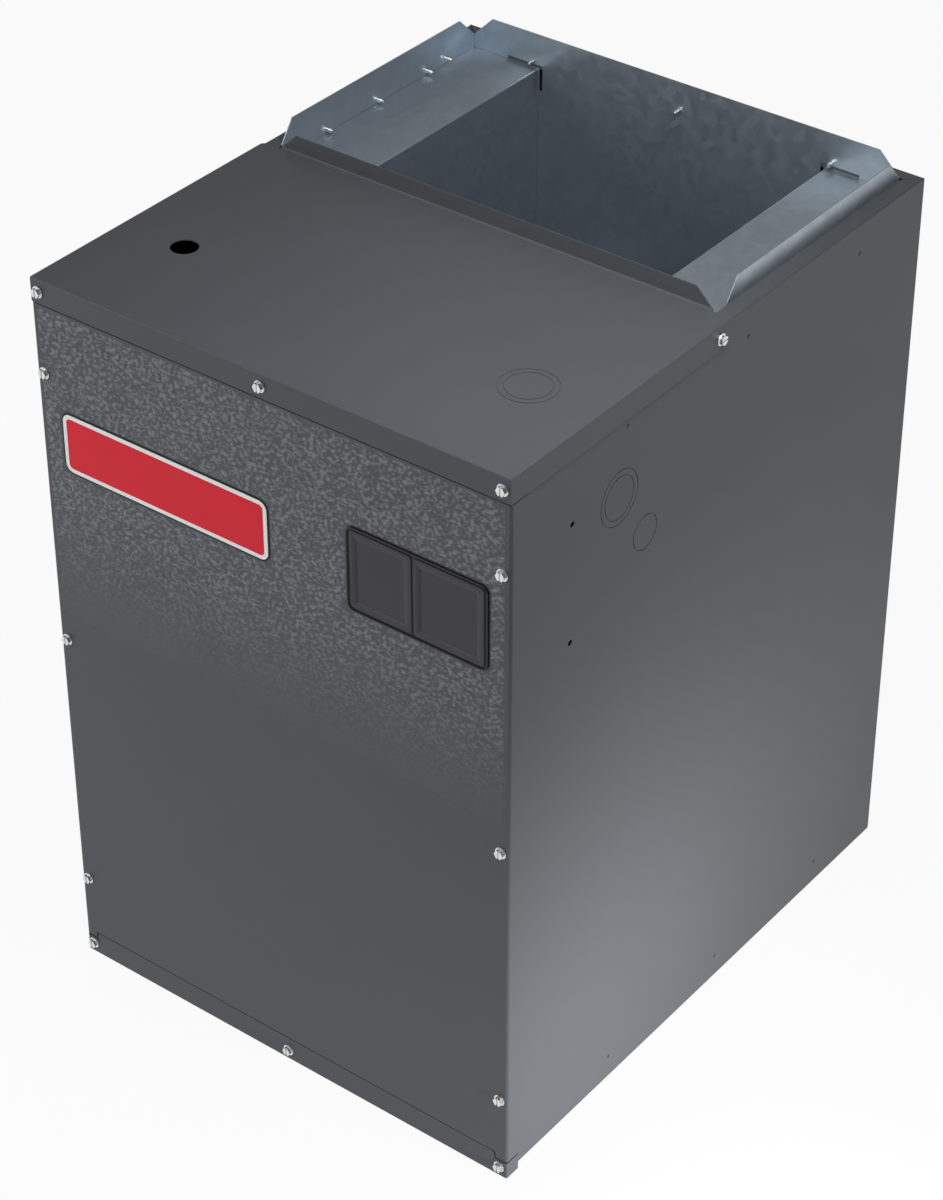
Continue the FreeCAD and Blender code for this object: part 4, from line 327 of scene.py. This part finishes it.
def sprayed_enamel(name):
    # Sprayed alkyd enamel on a rolled steel shell: near black, half gloss, with an orange peel
    material, tree, place = start(name)
    dust = grains(tree, place, 40, 5.0)
    peel = grains(tree, place, 3)
    return paint(material, tree, {
        "Base Color": between(tree, dust, linear("#141416"), linear("#2a2a2b")),
        "Roughness": span(tree, dust, 0.28, 0.44), "IOR": 1.5, "Normal": bumps(tree, peel, 0.3, 0.08)})


def die_cast_aluminium(name):
    # Aluminium pressed into a steel die: pale grey skin with flow marks and a fine chill grain
    material, tree, place = start(name)
    flow = grains(tree, place, 16, 5.0, Distortion=1.2)
    grain = grains(tree, place, 1.2)
    return paint(material, tree, {
        "Base Color": between(tree, flow, linear("#9b9c9d"), linear("#c9cacb")), "Metallic": 1.0,
        "Roughness": span(tree, flow, 0.38, 0.55), "Normal": bumps(tree, grain, 0.35, 0.08)})


def stacked_laminations(name):
    # Punched silicon steel sheets in a varnished stack: dark, with the sheet edges as fine lines along the shaft
    material, tree, place = start(name)
    # sheets are 0.5 mm; drawn 1.5 mm apart so that they show
    sheet = lines(tree, place, 1.5, Distortion=0.4)
    return paint(material, tree, {
        "Base Color": between(tree, sheet, linear("#4a4743"), linear("#85827d")), "Metallic": 0.7,
        "Roughness": 0.42, "Normal": bumps(tree, sheet, 0.5, 0.12)})


def enamelled_copper(name):
    # Magnet wire laid in turns under varnish: reddish brown, each turn a round gloss line
    material, tree, place = start(name)
    # such wire is less than 1 mm thick; drawn 1.6 mm apart so that it shows
    turn = lines(tree, place, 1.6, Distortion=1.5, **{"Detail Scale": 1.5})
    return paint(material, tree, {
        "Base Color": between(tree, turn, linear("#5a2413"), linear("#b5622f")), "Metallic": 0.8,
        "Roughness": 0.28, "Normal": bumps(tree, turn, 0.8, 0.4)})


def ground_bar_steel(name):
    # Centreless-ground bar: bright, with fine rings round the axis and a thin film of oil
    material, tree, place = start(name)
    # grinding lines are about 0.05 mm; drawn 0.9 mm apart so that they show
    line = lines(tree, place, 0.9, Distortion=2.0, Detail=3.0)
    return paint(material, tree, {
        "Base Color": between(tree, line, linear("#a9a9a8"), linear("#cfcfce")), "Metallic": 1.0,
        "Roughness": span(tree, line, 0.2, 0.34, 0.0, 1.0)})


def moulded_rubber(name):
    # Compression-moulded rubber: black with a grey bloom, soft sheen
    material, tree, place = start(name)
    bloom = grains(tree, place, 6, 4.0)
    return paint(material, tree, {
        "Base Color": between(tree, bloom, linear("#161616"), linear("#303030")), "Roughness": 0.72, "IOR": 1.52,
        "Normal": bumps(tree, bloom, 0.3, 0.1)})


def drawn_aluminium_can(name):
    # Deep-drawn aluminium: pale, with streaks drawn along the can
    material, tree, place = start(name)
    stretched = add(tree, "VectorMath", {0: place, 1: (1.0, 1.0, 0.03)}, operation="MULTIPLY")
    streak = grains(tree, stretched, 1.5, 3.0)
    return paint(material, tree, {
        "Base Color": between(tree, streak, linear("#adaeaf"), linear("#dadbdc")), "Metallic": 1.0,
        "Roughness": span(tree, streak, 0.22, 0.36)})


def solder_mask_board(name):
    # Glass-epoxy board under green solder mask: copper tracks show as paler runs at right angles
    material, tree, place = start(name)
    upright = add(tree, "Mapping", {0: place, "Rotation": (math.pi / 2, 0, 0)})
    track = add(tree, "TexBrick", {
        "Vector": upright, "Scale": 1 / (40 * MM), "Mortar Size": 0.03, "Brick Width": 0.31, "Row Height": 0.17,
        "Color1": linear("#0c4a26"), "Color2": linear("#0f5a2e"), "Mortar": linear("#2c8a4e")})
    return paint(material, tree, {"Base Color": track, "Roughness": 0.3, "IOR": 1.52, "Coat Weight": 0.3})


def polyester_tape(name):
    # Yellow polyester tape wound over a coil: overlapping turns, smooth, paler at the laps
    material, tree, place = start(name)
    lap = lines(tree, place, 7, "Z", "SAW", Distortion=0.8)
    return paint(material, tree, {
        "Base Color": between(tree, lap, linear("#b98a1c"), linear("#dfb53c")), "Roughness": 0.34, "IOR": 1.55,
        "Normal": bumps(tree, lap, 0.5, 0.1)})


def braided_sleeving(name):
    # Varnished glass braid: two sets of strands crossing on the slant, dark with worn tops
    material, tree, place = start(name)
    strands = []
    for lean in (0.8, -0.8):
        slanted = add(tree, "Mapping", {0: place, "Rotation": (lean, lean, 0)})
        strands.append(lines(tree, slanted, 2.2, "Z"))
    weave = add(tree, "Math", {0: strands[0], 1: strands[1]}, operation="MAXIMUM")
    return paint(material, tree, {
        "Base Color": between(tree, weave, linear("#0d0d0e"), linear("#3a3a3c")), "Roughness": 0.55,
        "Normal": bumps(tree, weave, 0.7, 0.3)})


# Pieces

def dress(maker, *names):
    """Gives the frame's nodes of those names one finish."""
    for name in names:
        slots = NODES[name].data.materials
        slots.clear()
        slots.append(finish(maker))


def stand(name, data):
    """A new object in the scene."""
    made = bpy.data.objects.new(name, data)
    bpy.context.scene.collection.objects.link(made)
    return made


def piece(name, shape, body, slot, *makers):
    """A shown piece from a closed bmesh, which rides on that body and takes the finishes of those makers; the slot
    is not used.
    """
    bmesh.ops.recalc_face_normals(shape, faces=shape.faces)
    mesh = bpy.data.meshes.new(name)
    shape.to_mesh(mesh)
    shape.free()
    for maker in makers:
        mesh.materials.append(finish(maker))
    made = stand(name, mesh)
    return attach(made, body)


def smooth_step(low, high, value):
    share = min(1.0, max(0.0, (value - low) / (high - low)))
    return share * share * (3 - 2 * share)


def rounded_outline(low, high, radius, steps=8):
    """Points of a rectangle with round corners, anticlockwise, in two coordinates."""
    points = []
    for n, (x, z) in enumerate(((high[0] - radius, high[1] - radius), (low[0] + radius, high[1] - radius),
                                (low[0] + radius, low[1] + radius), (high[0] - radius, low[1] + radius))):
        for k in range(steps + 1):
            angle = math.pi / 2 * (n + k / steps)
            points.append((x + radius * math.cos(angle), z + radius * math.sin(angle)))
    return points


def close(shape, loops):
    """Joins loops of points one after another and caps the first and the last."""
    loops = [[shape.verts.new(point) for point in loop] for loop in loops]
    count = len(loops[0])
    for a, b in zip(loops, loops[1:]):
        for k in range(count):
            shape.faces.new((a[k], a[(k + 1) % count], b[(k + 1) % count], b[k])).smooth = True
    shape.faces.new(loops[0])
    shape.faces.new(loops[-1])
    return shape


def eased(radius, first, last, steps=3):
    """Rings of a quarter round edge: from a wall at depth first to a face at depth last, as inset and depth."""
    way = radius if last > first else -radius
    turns = [math.pi / 2 * k / steps for k in range(steps + 1)]
    return [(0.0, first)] + [(radius * (1 - math.cos(a)), last - way * (1 - math.sin(a))) for a in turns]


def plate(low, high, radius, rings, shape=None):
    """A solid square to Y with round corners, from rings of an inset and a depth; corners are (x, z)."""
    loops = []
    for inset, y in rings:
        outline = rounded_outline((low[0] + inset, low[1] + inset), (high[0] - inset, high[1] - inset),
                                  max(radius - inset, LEAST_CORNER))
        loops.append([(x, y, z) for x, z in outline])
    return close(shape or bmesh.new(), loops)


def turned(shape, centre, along, profile, segments=24):
    """Adds a turned solid from radii and reaches along an axis, in millimetres, from one end to the other."""
    centre, along = Vector(centre), Vector(along)
    across = along.orthogonal().normalized()
    third = along.cross(across)
    angles = [2 * math.pi * k / segments for k in range(segments)]
    loops = []
    for radius, reach in profile:
        middle = centre + along * (reach * MM)
        loops.append([middle + (across * math.cos(a) + third * math.sin(a)) * (radius * MM) for a in angles])
    return close(shape, loops)


def spread(low, high, step):
    """Even places from low to high, about a step apart."""
    count = max(1, round((high - low) / step))
    return [low + (high - low) * k / count for k in range(count + 1)]


def lift(shape, columns, rows, height, place, back):
    """A solid over a grid: its face at height(u, v), its back at one depth; place(u, v, h) gives the point."""
    face = [[shape.verts.new(place(u, v, height(u, v))) for v in rows] for u in columns]
    for a, b in zip(face, face[1:]):
        for k in range(len(rows) - 1):
            shape.faces.new((a[k], b[k], b[k + 1], a[k + 1])).smooth = True
    right, top = len(columns) - 1, len(rows) - 1
    rim = [(k, 0) for k in range(right + 1)] + [(right, k) for k in range(1, top + 1)]
    rim += [(k, top) for k in range(right - 1, -1, -1)] + [(0, k) for k in range(top - 1, 0, -1)]
    under = [shape.verts.new(place(columns[a], rows[b], back)) for a, b in rim]
    for k, (a, b) in enumerate(rim):
        after = (k + 1) % len(rim)
        c, d = rim[after]
        shape.faces.new((face[a][b], face[c][d], under[after], under[k])).material_index = 1
    shape.faces.new(under).material_index = 1
    return shape


class BLOWER_OT_shell(bpy.types.Operator):
    """Coil coat on the cabinet and the door, with the door's stucco emboss as a raised skin"""

    bl_idname = "blower.shell"
    bl_label = "Painted shell"

    def execute(self, context):
        dress(coil_coated_steel, "side_panel_left", "side_panel_right", "back_panel", "top_cap", "base_front_rail",
              "door_panel")
        low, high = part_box("door_panel")
        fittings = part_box("badge_plate"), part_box("breaker_cover")
        edge, fade, relief = sizes().margin, sizes().fade, sizes().relief
        # such an emboss is about 0.3 mm high; the relief is drawn deeper so that it shows
        # pebbles lie on their sides: about two thirds as tall as they are wide
        wide, tall = sizes().pebble * 0.55, sizes().pebble * 0.38
        brow, brow_end, run_out, fade_in = 1.5 * MM, 3.5 * MM, 2.5 * MM, 150 * MM
        grid, proud, sunk, surfaced = 1.25 * MM, 0.1 * MM, 0.4 * MM, 0.85
        # smaller bumps break up the coarse ones; a pebble rises from its foot to its crown in the noise
        finer, finer_share, foot, crown = 1.9, 0.35, -0.15, 0.5
        coarse_slice, finer_slice = 7.3, 2.1

        def height(x, z):
            # sinks into the sheet at its edges and under the fittings
            shown = min(smooth_step(edge / 2, edge, x - low.x), smooth_step(edge / 2, edge, high.x - x),
                        smooth_step(brow, brow_end, high.z - z), smooth_step(0, 2 * edge, z - fade))
            for near, far in fittings:
                away = max(near.x - x, x - far.x, near.z - z, z - far.z)
                shown = min(shown, smooth_step(0, run_out, away))
            u, v = x / wide, z / tall
            bump = noise.noise((u, coarse_slice, v))
            bump += finer_share * noise.noise((u * finer, finer_slice, v * finer))
            strength = smooth_step(fade, fade + fade_in, z)
            return (shown - surfaced) * proud + relief * shown * strength * smooth_step(foot, crown, bump)

        columns = spread(low.x + edge / 2, high.x - edge / 2, grid)
        rows = spread(fade, high.z - brow, grid)
        shape = lift(bmesh.new(), columns, rows, height, lambda x, z, out: (x, low.y - out, z), -sunk)
        piece("door_emboss", shape, "door", "door_paint", embossed_coil_coated_steel, coil_coated_steel)
        return {"FINISHED"}


class BLOWER_OT_sheet_metal(bpy.types.Operator):
    """Bare galvanised sheet of the duct, the collar, the blower housing and the wheel"""

    bl_idname = "blower.sheet_metal"
    bl_label = "Galvanised sheet"

    def execute(self, context):
        dress(spangled_galvanised_sheet, "base_pan", "front_header", "collar_left", "collar_right", "duct_back",
              "duct_wall_left", "duct_wall_right", "partition", "heater_blank_plate", "blower_deck", "blower_rails",
              "housing_side_left", "housing_side_right", "scroll_wrap", "cut_off", "inlet_ring_left",
              "inlet_ring_right", "wheel_blades", "wheel_end_rings", "wheel_disc", "belly_band", "motor_arms",
              "capacitor_strap", "control_tray")
        return {"FINISHED"}


class BLOWER_OT_fasteners(bpy.types.Operator):
    """Zinc plated screws and bolts"""

    bl_idname = "blower.fasteners"
    bl_label = "Fasteners"

    def execute(self, context):
        dress(zinc_plated_steel, "cabinet_screws", "door_screws", "collar_screws", "inner_screws", "band_bolt",
              "arm_bolts")
        return {"FINISHED"}


class BLOWER_OT_badge(bpy.types.Operator):
    """Plain badge: dark backing, white rim and red field"""

    bl_idname = "blower.badge"
    bl_label = "Badge"

    def execute(self, context):
        low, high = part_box("badge_plate")
        corner, face, back = sizes().corner, low.y, high.y
        backing, soft_edge = sizes().backing, 0.12 * MM
        # the black backing shows as a dark band round the badge: partly the plate's own dark edge, partly painted
        # shade for the shadow at the badge's edges
        layers = (("badge_backing_and_shade", 0.0, 0.55, black_backing_and_shade_film),
                  ("badge_rim", backing, 0.8, white_printed_film),
                  ("badge_field", backing + sizes().rim, 1.0, red_printed_film))
        for name, inset, share, maker in layers:
            shape = plate((low.x + inset, low.z + inset), (high.x - inset, high.z - inset), corner - inset,
                          eased(soft_edge, back, back + (face - back) * share))
            made = piece(name, shape, "door", "badge", maker)
            if name == "badge_backing_and_shade":
                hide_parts("badge_plate")
        return {"FINISHED"}


class BLOWER_OT_cover(bpy.types.Operator):
    """Moulded breaker cover: a black frame and groove, painted shade for the dark gap round the cover, two fields
    with sunk squares, and the plug behind the door
    """

    bl_idname = "blower.cover"
    bl_label = "Breaker cover"

    def execute(self, context):
        low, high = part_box("breaker_cover")
        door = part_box("door_panel")[0].y
        front, rear = low.y, high.y
        floor, field = door - 0.6 * MM, door - 1.36 * MM
        rim, groove, split = 1.4 * MM, 1.8 * MM, low.x + 60.5 * MM
        round_edge, bevel, step = 0.5 * MM, 0.3 * MM, 0.4 * MM
        frame_corner, field_corner, plug_corner = 7 * MM, 3 * MM, 0.6 * MM
        # the frame and groove take a blacker plastic than the fields: painted shade for the dark gap round the
        # cover
        rings = eased(round_edge, door, front) + [(rim - bevel, front), (rim, front + bevel), (rim, floor)]
        shape = plate((low.x, low.z), (high.x, high.z), frame_corner, rings)
        frame_piece = piece("cover_frame", shape, "door", "black_plastic", black_moulded_abs)
        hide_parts("breaker_cover")
        # the fields stand a little way into the frame's floor, and each has a square sunk by a step
        edge, square, bite, slope, flat = rim + groove, sizes().square, 0.1 * MM, 0.25 * MM, 0.6 * MM
        rings = eased(round_edge, floor + bite, field)
        rings += [(square, field), (square + slope, field + step), (square + flat, field + step)]
        for name, left, right in (("cover_field_left", low.x + edge, split - groove / 2),
                                  ("cover_field_right", split + groove / 2, high.x - edge)):
            shape = plate((left, low.z + edge), (right, high.z - edge), field_corner, rings)
            piece(name, shape, "door", "black_plastic", grey_moulded_abs)
        # the plug goes through the door, and its right wall keeps clear of the cabinet's landing
        inset, plug_right, wall, skin = 6.15 * MM, 195.1 * MM, 1.4 * MM, 0.9 * MM
        rings = eased(step, door, rear)
        rings += [(wall, rear), (wall + step, rear - step), (wall + step, door + skin)]
        shape = plate((low.x + inset, low.z + inset), (plug_right, high.z - inset), plug_corner, rings)
        piece("cover_plug", shape, "door", "black_plastic", black_moulded_abs)
        return {"FINISHED"}


class BLOWER_OT_mouldings(bpy.types.Operator):
    """Moulded terminal block, grommets and motor mounts"""

    bl_idname = "blower.mouldings"
    bl_label = "Mouldings"

    def execute(self, context):
        dress(black_moulded_abs, "terminal_block")
        dress(moulded_rubber, "arm_grommets", "deck_grommet")
        return {"FINISHED"}


class BLOWER_OT_insulation(bpy.types.Operator):
    """Glass wool boards with a glass mat facing, pulled in by washers on welded pins"""

    bl_idname = "blower.insulation"
    bl_label = "Insulation"

    def execute(self, context):
        for node, body, inward, pins in (
                ("liner_left", "cabinet", (1, 0, 0), (3, 2)), ("liner_right", "cabinet", (-1, 0, 0), (3, 2)),
                ("liner_back", "cabinet", (0, -1, 0), (3, 2)), ("door_liner", "door", (0, 1, 0), (2, 2))):
            self.board(node, body, Vector(inward), pins)
        return {"FINISHED"}

    def board(self, node, body, inward, pins):
        low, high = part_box(node)
        across = 1 if inward.x else 0
        thick = (high - low)[1 - across]
        back = low if sum(inward) > 0 else high
        edge_drop, edge_wide = 2.6 * MM, 9 * MM
        sag, sag_wide, sag_slice = 0.9 * MM, 70 * MM, thick * 99
        dent, dent_wide = 2.8 * MM, 24 * MM
        margin, cell = 7 * MM, 6 * MM

        def place(u, z, out):
            point = Vector((u, u, z))
            point[1 - across] = back[1 - across] + inward[1 - across] * out
            return point

        count, tiers = pins
        spots = [(low[across] + (high[across] - low[across]) * (a + 0.5) / count,
                  low.z + (high.z - low.z) * (b + 0.5) / tiers) for a in range(count) for b in range(tiers)]

        def height(u, z):
            near = min(u - low[across], high[across] - u, z - low.z, high.z - z)
            drop = edge_drop * (1 - min(1.0, near / edge_wide)) ** 2
            drop += sag * (0.5 + 0.5 * noise.noise((u / sag_wide, z / sag_wide, sag_slice)))
            for a, b in spots:
                drop += dent * math.exp(-((u - a) ** 2 + (z - b) ** 2) / dent_wide ** 2)
            return thick - drop

        # closer together in the margin, where the face turns down
        ends = [d * MM for d in (0, 1, 2.5, 4.5)]
        grid = []
        for first, last in ((low[across], high[across]), (low.z, high.z)):
            grid.append([first + d for d in ends] + spread(first + margin, last - margin, cell)
                        + [last - d for d in reversed(ends)])
        shape = lift(bmesh.new(), *grid, height, place, 0.0)
        made = piece(node + "_board", shape, body, "insulation", glass_mat_facing, cut_glass_wool)
        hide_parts(node)
        shape, wide = bmesh.new(), sizes().washer / MM
        for u, z in spots:
            turned(shape, place(u, z, height(u, z)), inward, (
                (wide, 0.5), (wide, 0.9), (wide * 0.8, 1.1), (wide * 0.45, 0.4), (1.9, 0.3), (1.6, 0.5), (1.4, 1.9),
                (0.7, 2.3)))
        piece(node + "_washers", shape, body, "galvanised", spangled_galvanised_sheet)


class BLOWER_OT_motor(bpy.types.Operator):
    """Finishes of the motor, its shaft and the run capacitor"""

    bl_idname = "blower.motor"
    bl_label = "Motor"

    def execute(self, context):
        dress(sprayed_enamel, "motor_shell")
        dress(die_cast_aluminium, "motor_bell_outer", "motor_bell_inner")
        dress(stacked_laminations, "stator_core", "motor_rotor", "transformer_core")
        dress(enamelled_copper, "stator_winding")
        dress(ground_bar_steel, "motor_shaft", "motor_bearings", "wheel_hub", "wheel_set_screw")
        dress(drawn_aluminium_can, "capacitor")
        return {"FINISHED"}


class BLOWER_OT_controls(bpy.types.Operator):
    """Control board with its relays, terminals, fuse and plug, and the transformer coil"""

    bl_idname = "blower.controls"
    bl_label = "Controls"

    def execute(self, context):
        dress(polyester_tape, "transformer_coil")
        low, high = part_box("control_board")
        post_tall, laminate = 8 * MM, 1.6 * MM
        rear = high.y - post_tall
        face = rear - laminate
        wide, tall = high.x - low.x, high.z - low.z
        forward = (0, -1, 0)

        def spot(share, rise, out=0.0):
            """A point by its shares of the board's width and height, that far in front of it in millimetres."""
            return low.x + wide * share, face - out * MM, low.z + tall * rise

        def block(share, rise, size, deep, radius, shape=None):
            """A box on the board from its lower left corner; sizes in millimetres."""
            x, y, z = spot(share, rise)
            far = x + size[0] * MM, z + size[1] * MM
            return plate((x, z), far, radius * MM, eased(radius * MM / 2, y, y - deep * MM), shape)

        corner, soft_edge = 2 * MM, 0.2 * MM
        shape = plate((low.x, low.z), (high.x, high.z), corner, eased(soft_edge, rear, face))
        board = piece("board_laminate", shape, "cabinet", "board_green", solder_mask_board)
        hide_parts("control_board")

        posts, post_inset = bmesh.new(), 6 * MM
        for x in (low.x + post_inset, high.x - post_inset):
            for z in (low.z + post_inset, high.z - post_inset):
                turned(posts, (x, high.y, z), forward, (
                    (3.2, 0), (3.2, 1), (2.4, 2), (2.4, 8), (2.0, 8), (2.6, 10.4), (0.8, 12.6)), segments=16)
        piece("board_posts", posts, "cabinet", "black_plastic", white_moulded_nylon)

        relays = bmesh.new()
        for rise in (0.15, 0.5):
            block(0.48, rise, (26, 20), 15, 1.2, relays)
        piece("board_relays", relays, "cabinet", "black_plastic", black_moulded_abs)

        row, heads, pitch, row_tall = bmesh.new(), bmesh.new(), 0.09, 9
        for n in range(6):
            block(0.8, 0.18 + pitch * n, (wide * 0.13 / MM, tall * 0.084 / MM), row_tall, 0.8, row)
            turned(heads, spot(0.865, 0.222 + pitch * n, row_tall), forward, (
                (2.4, -1), (2.4, 0.8), (2.0, 1.3)), segments=16)
        piece("board_terminals", row, "cabinet", "black_plastic", black_moulded_abs)
        piece("board_terminal_screws", heads, "cabinet", "zinc_screw", zinc_plated_steel)

        plug = block(0.071, 0.0875, (18, 12), 10, 0.8)
        piece("board_plug", plug, "cabinet", "black_plastic", white_moulded_nylon)

        centre, cans = spot(0.23, 0.6875, 8.6), bmesh.new()
        fuse = turned(bmesh.new(), centre, (1, 0, 0), ((2.4, -9), (2.4, 9)))
        piece("board_fuse", fuse, "cabinet", "board_green", lacquered_ceramic)
        for side in (-1, 1):
            # the fuse's caps and its clips
            turned(cans, centre, (side, 0, 0), ((2.7, 5), (2.9, 5.4), (2.9, 10.4), (2.4, 11)))
            block(0.21 + 0.065 * side, 0.66, (4.8, 4.4), 7.4, 0.6, cans)
        for n in range(2):
            turned(cans, spot(0.4, 0.3 + 0.34 * n), forward, (
                (4, 0), (4, 0.8), (3.7, 1.2), (4, 1.7), (4, 10.4), (3.4, 11)))
        piece("board_cans", cans, "cabinet", "can_metal", drawn_aluminium_can)

        small = bmesh.new()
        for n in range(5):
            turned(small, spot(0.12, 0.33 + 0.055 * n, 1.6), (1, 0, 0), (
                (0.3, -4), (0.3, 0), (1.3, 0.4), (1.1, 1.6), (1.1, 5.4), (1.3, 6.6), (0.3, 7), (0.3, 11)),
                segments=12)
        piece("board_resistors", small, "cabinet", "board_green", lacquered_ceramic)

        chip = block(0.24, 0.33, (9, 18), 3.4, 0.6)
        piece("board_chip", chip, "cabinet", "black_plastic", black_moulded_abs)
        return {"FINISHED"}


class BLOWER_OT_harness(bpy.types.Operator):
    """Motor leads in a braided sleeve: from the board's plug through the deck's grommet to the motor"""

    bl_idname = "blower.harness"
    bl_label = "Motor harness"

    def execute(self, context):
        low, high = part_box("motor_harness")
        radius = sizes().sleeve
        x, top, foot = (low.x + high.x) / 2, high.z - radius, low.z
        ahead, behind = low.y + radius, high.y - radius
        # the plug's face lies behind that of the relays, which stand out farthest on the board
        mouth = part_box("control_board")[0].y + 4.7 * MM
        below_plug, above_bend = top - 54 * MM, foot + 70 * MM
        bend, over_motor = foot + 20 * MM, foot + 27 * MM
        # out of the plug's mouth, down through the deck's grommet, back under the deck and down to the motor
        route = [(x, mouth, top), (x, ahead, top), (x, ahead, below_plug), (x, ahead, above_bend),
                 (x, ahead, bend), (x, behind, over_motor), (x, behind, foot)]
        curve = bpy.data.curves.new("motor_leads", "CURVE")
        curve.dimensions, curve.bevel_depth, curve.bevel_resolution = "3D", radius, 4
        spline = curve.splines.new("NURBS")
        spline.points.add(len(route) - 1)
        for point, place in zip(spline.points, route):
            point.co = (*place, 1)
        spline.order_u, spline.use_endpoint_u, spline.resolution_u = 3, True, 16
        curve.use_fill_caps = True
        curve.materials.append(finish(braided_sleeving))
        leads = stand("motor_leads", curve)
        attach(leads, "cabinet")
        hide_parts("motor_harness")
        bare = curve.copy()
        bare.bevel_depth = 0
        line = bpy.data.meshes.new_from_object(bpy.data.objects.new("motor_leads_line", bare))
        boots = bmesh.new()
        turned(boots, route[-1], (0, 0, 1), ((7, 0), (7, 2), (5.6, 4), (4.6, 15), (4.1, 15.5)))
        turned(boots, route[0], (0, -1, 0), ((5.4, 0), (5.4, 3), (4.5, 9), (4.1, 9.4)))
        piece("motor_lead_boots", boots, "cabinet", "rubber", moulded_rubber)
        return {"FINISHED"}


class BLOWER_OT_stage(bpy.types.Operator):
    """Pale floor, soft studio light and the camera"""

    bl_idname = "blower.stage"
    bl_label = "Stage"

    def execute(self, context):
        scene = context.scene
        scene.view_settings.view_transform = "Standard"
        self.floor()
        self.air(scene)
        self.lamps()
        view = bpy.data.cameras.new("camera")
        view.lens, view.sensor_width = 99.386, 36
        view.shift_x, view.shift_y = 0.00428, -0.03688
        scene.camera = stand("camera", view)
        scene.camera.location = (1.33193, -1.75179, 1.89573)
        scene.camera.rotation_euler = Euler([math.radians(a) for a in (54.99056, 0.09794, 37.6383)])
        return {"FINISHED"}

    def lamps(self):
        # name, place, aim, width, height, watts and the angle that the light spreads to
        for name, place, aim, wide, tall, watts, cone in (
                ("key_softbox", (-1.6, -2.35, 1.0), (0, -0.2, 0.5), 1.8, 1.8, 30, 180),
                ("top_softbox", (0.2, -0.2, 3.2), (0, 0, 0.6), 2.2, 2.2, 7.5, 180),
                ("cap_softbox", (0.32, -0.22, 1.2), (0.12, -0.12, 0.6), 0.3, 0.3, 4, 180),
                ("low_softbox", (0.85, -0.27, 0.1), (0.22, -0.15, 0.03), 0.3, 0.3, 1.6, 72)):
            lamp = bpy.data.lights.new(name, "AREA")
            lamp.shape = "RECTANGLE"
            lamp.size, lamp.size_y = wide, tall
            lamp.energy = watts
            lamp.spread = math.radians(cone)
            made = stand(name, lamp)
            made.location = place
            made.rotation_euler = (Vector(place) - Vector(aim)).to_track_quat("Z", "Y").to_euler()
            made.visible_camera = False

    def floor(self):
        """A disc that ends beyond the view, clear from below so that the underside can be looked at."""
        reach, white_share, gap = 20, 0.93, 0.6 * MM
        shape = bmesh.new()
        bmesh.ops.create_circle(shape, cap_ends=True, radius=reach, segments=96)
        mesh = bpy.data.meshes.new("floor")
        shape.to_mesh(mesh)
        shape.free()
        material, tree, _ = start("studio_floor")
        path = add(tree, "LightPath").outputs
        seen = add(tree, "Math", {0: path["Is Camera Ray"], 1: path["Is Glossy Ray"]}, operation="MAXIMUM")
        share = add(tree, "Math", {0: seen, 1: white_share}, operation="MULTIPLY")
        matt = add(tree, "BsdfDiffuse", {"Color": tuple(colours().floor)})
        white = add(tree, "Emission", {"Color": (1, 1, 1, 1), "Strength": 1.0})
        both = add(tree, "MixShader", {0: share, 1: matt, 2: white})
        clear = add(tree, "BsdfTransparent")
        sides = add(tree, "MixShader", {0: add(tree, "NewGeometry").outputs["Backfacing"], 1: both, 2: clear})
        add(tree, "OutputMaterial", {"Surface": sides})
        mesh.materials.append(material)
        made = stand("floor", mesh)
        made.location.z = -gap

    def air(self, scene):
        """Even grey air, a little lighter at the horizon."""
        world = bpy.data.worlds.new("studio_air")
        world.use_nodes = True
        tree = world.node_tree
        tree.nodes.clear()
        rise = add(tree, "SeparateXYZ", {0: add(tree, "TexCoord").outputs["Generated"]}).outputs["Z"]
        level = span(tree, rise, 0.235, 0.21, 0.05, 0.5)
        back = add(tree, "Background", {"Color": (0.97, 0.985, 1.0, 1.0), "Strength": level})
        add(tree, "OutputWorld", {"Surface": back})
        scene.world = world


OPERATORS = (BLOWER_OT_shell, BLOWER_OT_sheet_metal, BLOWER_OT_fasteners, BLOWER_OT_badge, BLOWER_OT_cover,
             BLOWER_OT_mouldings, BLOWER_OT_insulation, BLOWER_OT_motor, BLOWER_OT_controls, BLOWER_OT_harness,
             BLOWER_OT_stage)


class BLOWER_PT_finishes(bpy.types.Panel):
    """Settings and steps of the blower"""

    bl_label = "Modular blower"
    bl_space_type = "VIEW_3D"
    bl_region_type = "UI"
    bl_category = "Blower"

    def draw(self, context):
        for group in (context.scene.blower_colours, context.scene.blower_sizes):
            box = self.layout.box()
            for name in group.__annotations__:
                box.prop(group, name)
        for operator in OPERATORS:
            self.layout.operator(operator.bl_idname)


CLASSES = (BlowerColours, BlowerSizes, *OPERATORS, BLOWER_PT_finishes)


def register():
    for kind in CLASSES:
        bpy.utils.register_class(kind)
    bpy.types.Scene.blower_colours = bpy.props.PointerProperty(type=BlowerColours)
    bpy.types.Scene.blower_sizes = bpy.props.PointerProperty(type=BlowerSizes)


def unregister():
    del bpy.types.Scene.blower_colours
    del bpy.types.Scene.blower_sizes
    for kind in reversed(CLASSES):
        bpy.utils.unregister_class(kind)


def main():
    register()
    for operator in OPERATORS:
        group, name = operator.bl_idname.split(".")
        getattr(getattr(bpy.ops, group), name)()


if __name__ == "__main__":
    main()
